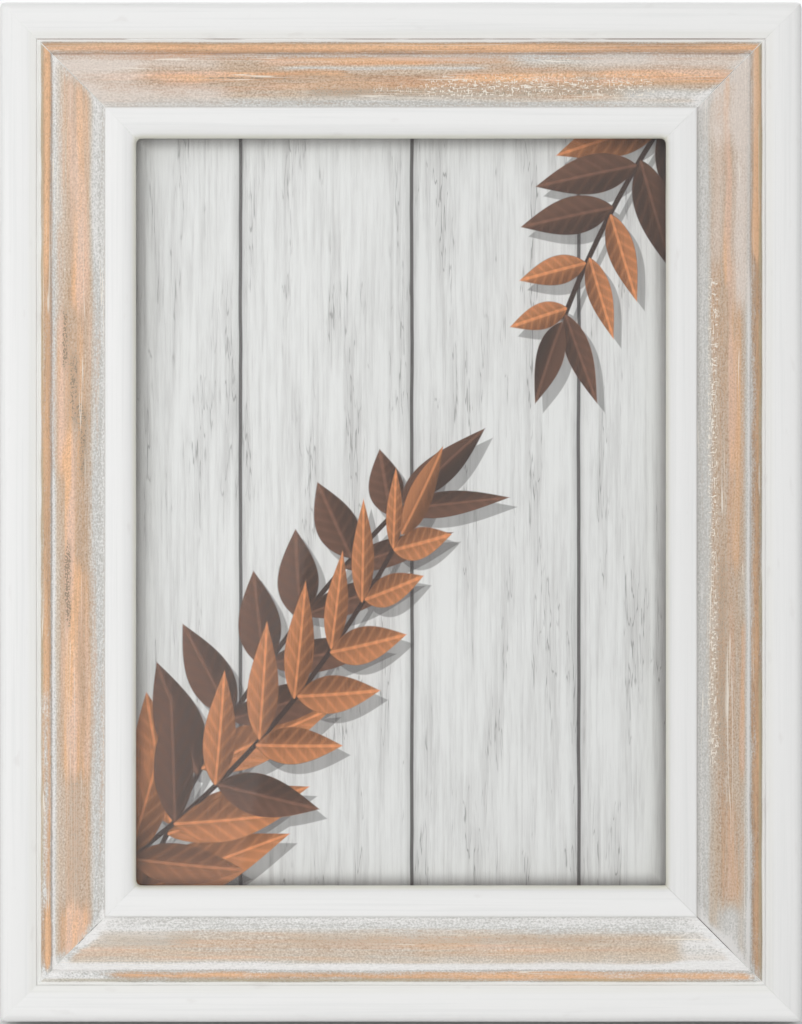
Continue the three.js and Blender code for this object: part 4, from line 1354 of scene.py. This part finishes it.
def turned(profile, steps=40):
    """A round body about the Y axis from pairs of radius and place."""
    bm = bmesh.new()
    verts = [bm.verts.new((radius, y, 0)) for radius, y in profile]
    edges = [bm.edges.new(pair) for pair in zip(verts, verts[1:])]
    bmesh.ops.spin(
        bm,
        geom=[*verts, *edges],
        cent=(0, 0, 0),
        axis=(0, 1, 0),
        angle=math.tau,
        steps=steps,
        use_merge=True,
    )
    bmesh.ops.remove_doubles(bm, verts=bm.verts, dist=1e-7)
    bmesh.ops.recalc_face_normals(bm, faces=bm.faces)
    shade(bm)
    return bm


def dome(radius, base, rise):
    """Profile of a domed head, from its edge to its middle."""
    lip = rise * 0.12
    rounded = arc(Vector((0, base + lip)), radius, rise - lip, 0, 90, 10)
    return [(radius * 0.96, base), *rounded, (0, base + rise)]


def rivet(inner, outer, finish):
    """Rivet along Y: flat tail in the board's inner face, domed head on the sheet's outer face."""
    tail = inner + finish.rivet_sink
    neck = tail + finish.rivet_sheet
    return turned(
        [
            (0, tail),
            (finish.rivet_tail * 0.9, tail),
            (finish.rivet_tail, tail + finish.rivet_arris),
            (finish.rivet_tail, neck),
            (finish.rivet_shank, neck),
            (finish.rivet_shank, outer),
            *dome(finish.rivet_head, outer, finish.rivet_rise),
        ]
    )


def carve(bm, tools):
    """Cuts closed bodies out of a body."""
    meshes = []
    for shape in (bm, *tools):
        mesh = bpy.data.meshes.new("carving")
        shape.to_mesh(mesh)
        shape.free()
        meshes.append(mesh)
    objects = [bpy.data.objects.new("carving", mesh) for mesh in meshes]
    for carving in objects:
        bpy.context.scene.collection.objects.link(carving)
    for tool in objects[1:]:
        cut = objects[0].modifiers.new("cut", "BOOLEAN")
        cut.operation = "DIFFERENCE"
        cut.object = tool
    evaluated = objects[0].evaluated_get(bpy.context.evaluated_depsgraph_get())
    carved = bmesh.new()
    carved.from_mesh(evaluated.to_mesh())
    evaluated.to_mesh_clear()
    for mesh in meshes:
        bpy.data.meshes.remove(mesh)
    shade(carved)
    return carved


def joint_place(joint):
    """A joint's place in the frame's upright space."""
    return UPRIGHT @ Vector(JOINTS[joint]["pos_m"])


# Corners and back


class FRAME_OT_nails(Operator):
    """V-nails, two in the back of each mitre"""

    bl_idname = "picture_frame.nails"
    bl_label = "V-nails"

    def execute(self, context):
        nails = context.scene.frame_nails
        half = FRAME_WIDTH / 2
        corners = {
            "bottom_left": (0, Vector((-half, 0, 0))),
            "bottom_right": (-math.pi / 2, Vector((half, 0, 0))),
            "top_right": (math.pi, Vector((half, 0, FRAME_HEIGHT))),
            "top_left": (math.pi / 2, Vector((-half, 0, FRAME_HEIGHT))),
        }
        for corner, (turn, point) in corners.items():
            for order, inset in (("outer", nails.outer), ("inner", nails.inner)):
                bm = bmesh.new()
                legs = [(nails.leg, 0), (0, 0), (0, nails.leg)]
                verts = [bm.verts.new((inset + x, nails.proud, inset + z)) for x, z in legs]
                edges = [bm.edges.new(pair) for pair in zip(verts, verts[1:])]
                draw_out(bm, edges, Matrix.Translation((0, -nails.depth, 0)))
                bmesh.ops.recalc_face_normals(bm, faces=bm.faces)
                there = leaning_at(point, turn)
                node = f"{corner}_{order}_v_nail"
                thicken(metal_piece(f"{node}_strip", bm, there, "frame", node), nails.sheet)
        return {"FINISHED"}


class FRAME_OT_panel(Operator):
    """Back panel of coated board"""

    bl_idname = "picture_frame.panel"
    bl_label = "Back panel"

    def execute(self, context):
        low, high = node_box("back_panel", LEANING)
        bm = bmesh.new()
        bmesh.ops.create_cube(bm, size=1, matrix=Matrix.LocRotScale((low + high) / 2, None, high - low))
        board_piece("back_board", bm, LEANING, "frame", "back_panel")
        return {"FINISHED"}


def node_box(node, space):
    """Least and greatest corner of a CAD node in a space of its own."""
    to_space = space.inverted()
    points = [to_space @ vertex.co for vertex in frame["nodes"][node].data.vertices]
    low = Vector(min(point[i] for point in points) for i in range(3))
    high = Vector(max(point[i] for point in points) for i in range(3))
    return low, high


def widest(bm):
    """The face with the greatest area."""
    return max(bm.faces, key=lambda face: face.calc_area())


def turn_button(buttons):
    """Pear-shaped plate with a pressed middle, its screw hole at the origin and its tip towards Z."""
    slant = math.degrees(math.asin((buttons.hub - buttons.tip) / buttons.reach))
    outline = [
        *arc(Vector((0, 0)), buttons.hub, buttons.hub, 180 - slant, 360 + slant, 24),
        *arc(Vector((0, buttons.reach)), buttons.tip, buttons.tip, slant, 180 - slant, 16),
    ]
    bm = flat_sheet(outline, buttons.lift)
    for width, rise in ((buttons.tip * 0.35, 0.0), (buttons.tip * 0.15, buttons.pressing)):
        bmesh.ops.inset_region(bm, faces=[widest(bm)], thickness=width)
        bmesh.ops.translate(bm, vec=(0, rise, 0), verts=widest(bm).verts)
    raise_faces(bm, buttons.sheet)
    drill = bmesh.new()
    radius = buttons.screw_shank + buttons.screw_play
    bmesh.ops.create_cone(
        drill,
        cap_ends=True,
        segments=32,
        radius1=radius,
        radius2=radius,
        depth=6 * buttons.sheet,
        matrix=Matrix.Rotation(math.pi / 2, 4, "X"),
    )
    return carve(bm, [drill])


def button_screw(buttons):
    """Screw with a domed head and a cross recess."""
    seat = 2 * buttons.lift + buttons.sheet
    crown = seat + buttons.screw_rise
    screw = turned(
        [
            (0, -buttons.screw_length),
            (buttons.screw_shank, -buttons.screw_length * 0.72),
            (buttons.screw_shank, seat),
            *dome(buttons.screw_head, seat, buttons.screw_rise),
        ]
    )
    arms = []
    for turn in (45, 135):
        arm = bmesh.new()
        bmesh.ops.create_cube(arm, size=1)
        stretch = Matrix.Diagonal((buttons.slot_length, 2 * buttons.slot_depth, buttons.slot_width, 1))
        turned_so = Matrix.Rotation(math.radians(turn), 4, "Y")
        place(arm, Matrix.Translation((0, crown, 0)) @ turned_so @ stretch)
        arms.append(arm)
    return carve(screw, arms)


class FRAME_OT_buttons(Operator):
    """Turn buttons on the side rails, with their screws"""

    bl_idname = "picture_frame.buttons"
    bl_label = "Turn buttons"

    def execute(self, context):
        buttons = context.scene.frame_buttons
        for side in ("left", "right"):
            for level in ("upper", "lower"):
                post = f"{side}_{level}"
                screw_place = joint_place(f"{post}_swivel")
                screw_place.y = 0
                there = leaning_at(screw_place, RAILS[side][1])
                button = turn_button(buttons)
                body, node = f"{post}_button", f"{post}_turn_button"
                plate = metal_piece(f"{post}_button_plate", button, there, body, node)
                ease_edges(plate, context.scene.frame_back.sheet_arris)
                screw = button_screw(buttons)
                metal_piece(f"{post}_cross_screw", screw, there, "frame", f"{post}_button_screw")
        return {"FINISHED"}


# Easel strut, about the hinge's axis along X


def strut_board(easel, there):
    """Strut that widens from its shoulders to a foot cut level with the floor."""
    low, high = node_box("easel_strut", there)
    flare = (easel.foot_width - easel.top_width) / 2 / (high.z - low.z)
    bottom = low.z - (high.y - low.y)
    end_half = easel.top_width / 2 + flare * (high.z - bottom)
    shoulders = [(easel.top_width / 2, high.z), (-easel.top_width / 2, high.z)]
    bm = flat_sheet([(-end_half, bottom), (end_half, bottom), *shoulders], low.y)
    round_corners(bm, shoulders, easel.shoulder)
    raise_faces(bm, high.y - low.y)
    floor = there.inverted()
    bmesh.ops.bisect_plane(
        bm,
        geom=[*bm.verts, *bm.edges, *bm.faces],
        plane_co=floor.translation,
        plane_no=floor.to_3x3() @ Vector((0, 0, -1)),
        clear_outer=True,
    )
    close_ends(bm)
    return bm


def knuckle_reach(easel):
    """From the hinge's axis to the middle of the rolled sheet, and to where the plates are clear of it."""
    return easel.bore + easel.sheet / 2, easel.bore + easel.sheet + easel.play


def hinge_base(easel):
    """Base plate whose lower edge is rolled into two knuckles."""
    middle, clear = knuckle_reach(easel)
    inner = easel.stop_width / 2 + easel.leaf_knuckle + 2 * easel.play
    half = inner + easel.base_knuckle
    top = [(half, easel.base_height), (-half, easel.base_height)]
    bm = flat_sheet([(-half, clear), (half, clear), *top], -middle)
    round_corners(bm, top, easel.base_corner)
    slit(bm, -inner, inner)
    edges = draw_out(bm, edges_at(bm, clear, inner, half), Matrix.Translation((0, 0, -clear)))
    roll(bm, edges, 270)
    smooth_sheet(bm)
    return bm


def hinge_leaf(easel):
    """Leaf with two knuckles and, between them, the tongue that stops the open strut."""
    middle, clear = knuckle_reach(easel)
    stop = easel.stop_width / 2
    inner = stop + easel.play
    half = inner + easel.leaf_knuckle
    end = [(-easel.leaf_end / 2, -easel.leaf_length), (easel.leaf_end / 2, -easel.leaf_length)]
    bm = flat_sheet([(half, -clear), (-half, -clear), *end], middle)
    round_corners(bm, end, easel.leaf_end / 4)
    slit(bm, -inner, -stop, stop, inner)
    draw_out(bm, edges_at(bm, -clear, -1, stop), Matrix.Translation((0, 0, clear + easel.stop_reach)))
    edges = draw_out(bm, edges_at(bm, -clear, inner, half), Matrix.Translation((0, 0, clear)))
    roll(bm, edges, 270)
    smooth_sheet(bm)
    return bm


def hinge_pin(easel, there):
    """Pin with a low head at each end."""
    high = node_box("hinge_pin", there)[1]
    radius, head, end = easel.bore - easel.pin_play, high.y, high.x
    neck = end - easel.pin_head
    taper = end - easel.pin_head / 2
    half = [(radius, neck), (head, neck), (head, taper), (radius, end), (0, end)]
    bm = turned([*[(out, -x) for out, x in reversed(half)], *half])
    place(bm, Matrix.Rotation(math.pi / 2, 4, "Z"))
    return bm


class FRAME_OT_easel(Operator):
    """Easel strut on its hinge"""

    bl_idname = "picture_frame.easel"
    bl_label = "Easel strut"

    def execute(self, context):
        easel = context.scene.frame_easel
        finish = context.scene.frame_back
        axis = joint_place("strut_hinge")
        fixed = LEANING @ Matrix.Translation(axis)
        opened = math.radians(-JOINTS["strut_hinge"]["range_deg"][0])
        swung = fixed @ Matrix.Rotation(opened, 4, "X")

        board_piece("strut_board", strut_board(easel, swung), swung, "strut", "easel_strut")
        base = metal_piece("base_plate", hinge_base(easel), fixed, "frame", "hinge_base")
        thicken(base, easel.sheet)
        leaf = metal_piece("leaf_plate", hinge_leaf(easel), swung, "strut", "hinge_leaf")
        thicken(leaf, easel.sheet)
        metal_piece("pin_with_heads", hinge_pin(easel, fixed), fixed, "frame", "hinge_pin")

        panel_front = node_box("back_panel", fixed)[0].y
        strut_front = node_box("easel_strut", swung)[0].y
        side = node_box("hinge_base", fixed)[1].x - easel.base_rivet
        up = easel.base_height - easel.base_rivet
        for number, x in enumerate((-side, side), 1):
            bm = rivet(panel_front, -easel.bore, finish)
            there = fixed @ Matrix.Translation((x, 0, up))
            metal_piece(f"base_plate_rivet_{number}", bm, there, "frame", f"base_rivet_{number}")
        downs = (knuckle_reach(easel)[1] + easel.leaf_rivet, easel.leaf_length - easel.leaf_rivet)
        for number, down in enumerate(downs, 1):
            bm = rivet(strut_front, easel.bore + easel.sheet, finish)
            there = swung @ Matrix.Translation((0, 0, -down))
            metal_piece(f"leaf_plate_rivet_{number}", bm, there, "strut", f"strut_rivet_{number}")
        return {"FINISHED"}


# Hanger, about the bar of its ring along X


def hanger_strap(hanger):
    """Strap that is folded round the ring's bar."""
    middle = hanger.strap_bore + hanger.strap_sheet / 2
    half = hanger.strap_width / 2
    low = -hanger.strap_length
    bm = flat_sheet([(-half, low), (half, low), (half, 0), (-half, 0)], -middle)
    round_corners(bm, [(-half, low), (half, low)], half * 0.3)
    roll(bm, edges_at(bm, 0, -1, half), -270)
    smooth_sheet(bm)
    return bm


def wire_ring(hanger):
    """Triangle of wire with rounded bends that hangs from its bar, as a bmesh."""
    half = hanger.ring_width / 2
    corners = [(-half, 0), (half, 0), (0, -hanger.ring_height)]
    path = flat_sheet(corners, 0)
    round_corners(path, corners, hanger.ring_bend)
    points = [vert.co.copy() for vert in path.faces[:][0].verts]
    path.free()
    curve = bpy.data.curves.new("ring_path", "CURVE")
    curve.dimensions = "3D"
    curve.bevel_depth = hanger.ring_wire
    curve.bevel_resolution = 5
    spline = curve.splines.new("POLY")
    spline.points.add(len(points) - 1)
    spline.use_cyclic_u = True
    for spot, point in zip(spline.points, points):
        spot.co = (*point, 1)
    bent = bpy.data.objects.new("ring_path", curve)
    bm = bmesh.new()
    mesh = bpy.data.meshes.new_from_object(bent)
    bm.from_mesh(mesh)
    bpy.data.objects.remove(bent)
    bpy.data.curves.remove(curve)
    bpy.data.meshes.remove(mesh)
    shade(bm)
    return bm


class FRAME_OT_hanger(Operator):
    """Hanger strap, wire ring and rivet"""

    bl_idname = "picture_frame.hanger"
    bl_label = "Hanger"

    def execute(self, context):
        hanger = context.scene.frame_hanger
        bar = Vector(JOINTS["ring_swing"]["pos_m"])
        there = LEANING @ Matrix.Translation(UPRIGHT @ bar)
        strap = metal_piece("folded_strap", hanger_strap(hanger), there, "frame", "hanger_strap")
        thicken(strap, hanger.strap_sheet)
        metal_piece("wire_ring", wire_ring(hanger), Matrix.Translation(bar), "ring", "hanger_ring")
        panel_front = node_box("back_panel", there)[0].y
        fastener = rivet(panel_front, -hanger.strap_bore, context.scene.frame_back)
        below = there @ Matrix.Translation((0, 0, -hanger.rivet_drop))
        metal_piece("strap_rivet", fastener, below, "frame", "hanger_rivet")
        return {"FINISHED"}


# Stage


FLOOR_FADE = (0.12, 0.42)  # shares of the floor's radius between which it turns white


def studio_floor(stage):
    """Pale disc that fades into the white round it."""
    material, graph = new_material("studio_floor")
    coordinates = graph.add("ShaderNodeTexCoord")
    x, y, _ = graph.split(Value(graph, coordinates.outputs["Object"]))
    far = (x * x + y * y).power(0.5).rise(*[stage.floor_radius * part for part in FLOOR_FADE])
    rays = graph.add("ShaderNodeLightPath")
    seen = far * Value(graph, rays.outputs["Is Camera Ray"])
    pale = graph.add("ShaderNodeBsdfDiffuse")
    pale.inputs["Color"].default_value = linear(stage.floor)
    glow = graph.add("ShaderNodeEmission")
    show_mixed(graph, seen, pale, glow)
    return material


def studio_world(stage):
    """Even soft light, with a white background where it is seen."""
    world = bpy.data.worlds.new("studio")
    bpy.context.scene.world = world
    world.use_nodes = True
    world.node_tree.nodes.clear()
    graph = Graph(world.node_tree)
    rays = graph.add("ShaderNodeLightPath")
    seen = Value(graph, rays.outputs["Is Camera Ray"])
    for kind in ("Is Glossy Ray", "Is Transmission Ray"):
        seen = seen.most(Value(graph, rays.outputs[kind]))
    background = graph.add("ShaderNodeBackground")
    background.inputs["Color"].default_value = (1, 1, 1, 1)
    graph.feed(background.inputs["Strength"], seen * (1 - stage.ambient) + stage.ambient)
    output = graph.add("ShaderNodeOutputWorld")
    graph.tree.links.new(background.outputs[0], output.inputs["Surface"])


def lamp(name, power, width, offset, target):
    """A square soft lamp that faces a point."""
    light = bpy.data.lights.new(name, "AREA")
    light.energy = power
    light.size = width
    lamp_object = bpy.data.objects.new(name, light)
    lamp_object.location = target + offset
    lamp_object.rotation_euler = (-offset).to_track_quat("-Z", "Y").to_euler()
    bpy.context.scene.collection.objects.link(lamp_object)


SENSOR = 36  # millimetres along the picture's longer side
# Lamps: name, width, and place from the middle of the picture, in metres
LAMPS = [
    ("key", 0.9, Vector((-0.4, -0.75, 0.4))),
    ("fill", 0.5, Vector((0.5, -1.2, 0.15))),
    ("back", 0.9, Vector((0.1, 0.85, 0.75))),
]


class FRAME_OT_stage(Operator):
    """Pale floor, soft lamps and the camera square to the picture"""

    bl_idname = "picture_frame.stage"
    bl_label = "Stage"

    def execute(self, context):
        stage = context.scene.frame_stage
        context.scene.view_settings.view_transform = "Standard"
        studio_world(stage)
        bm = bmesh.new()
        bmesh.ops.create_circle(bm, cap_ends=True, radius=stage.floor_radius, segments=96)
        mesh = bpy.data.meshes.new("floor")
        bm.to_mesh(mesh)
        bm.free()
        mesh.materials.append(studio_floor(stage))
        floor = bpy.data.objects.new("floor", mesh)
        context.scene.collection.objects.link(floor)

        middle = LEANING @ Vector((0, -MOULDING_DEPTH, FRAME_HEIGHT / 2))
        for name, width, offset in LAMPS:
            lamp(name, getattr(stage, name), width, offset, middle)

        camera = bpy.data.cameras.new("camera")
        camera.lens = stage.lens
        camera.sensor_width = SENSOR
        viewer = bpy.data.objects.new("camera", camera)
        distance = stage.picture_height * stage.lens / SENSOR
        toward_viewer = Matrix((RIGHT, UP, -BACK)).transposed().to_4x4()
        toward_viewer.translation = middle - BACK * distance
        viewer.matrix_world = toward_viewer
        context.scene.collection.objects.link(viewer)
        context.scene.camera = viewer
        return {"FINISHED"}


OPERATORS = [
    FRAME_OT_stage,
    FRAME_OT_rails,
    FRAME_OT_nails,
    FRAME_OT_glazing,
    FRAME_OT_panel,
    FRAME_OT_buttons,
    FRAME_OT_easel,
    FRAME_OT_hanger,
]


class FRAME_PT_parts(Panel):
    """Lists the pieces of the frame and their settings"""

    bl_label = "Picture frame"
    bl_idname = "FRAME_PT_parts"
    bl_space_type = "VIEW_3D"
    bl_region_type = "UI"
    bl_category = "Picture frame"

    def draw(self, context):
        for operator in OPERATORS:
            self.layout.operator(operator.bl_idname)
        for name, group in SETTINGS.items():
            box = self.layout.box()
            box.label(text=group.__doc__)
            for setting in group.__annotations__:
                box.prop(getattr(context.scene, name), setting)


CLASSES = [*SETTINGS.values(), *OPERATORS, FRAME_PT_parts]


def register():
    for cls in CLASSES:
        bpy.utils.register_class(cls)
    for name, group in SETTINGS.items():
        setattr(bpy.types.Scene, name, PointerProperty(type=group))


def unregister():
    for name in SETTINGS:
        delattr(bpy.types.Scene, name)
    for cls in reversed(CLASSES):
        bpy.utils.unregister_class(cls)


def main():
    register()
    for operator in OPERATORS:
        group, name = operator.bl_idname.split(".")
        getattr(getattr(bpy.ops, group), name)()


if __name__ == "__main__":
    main()
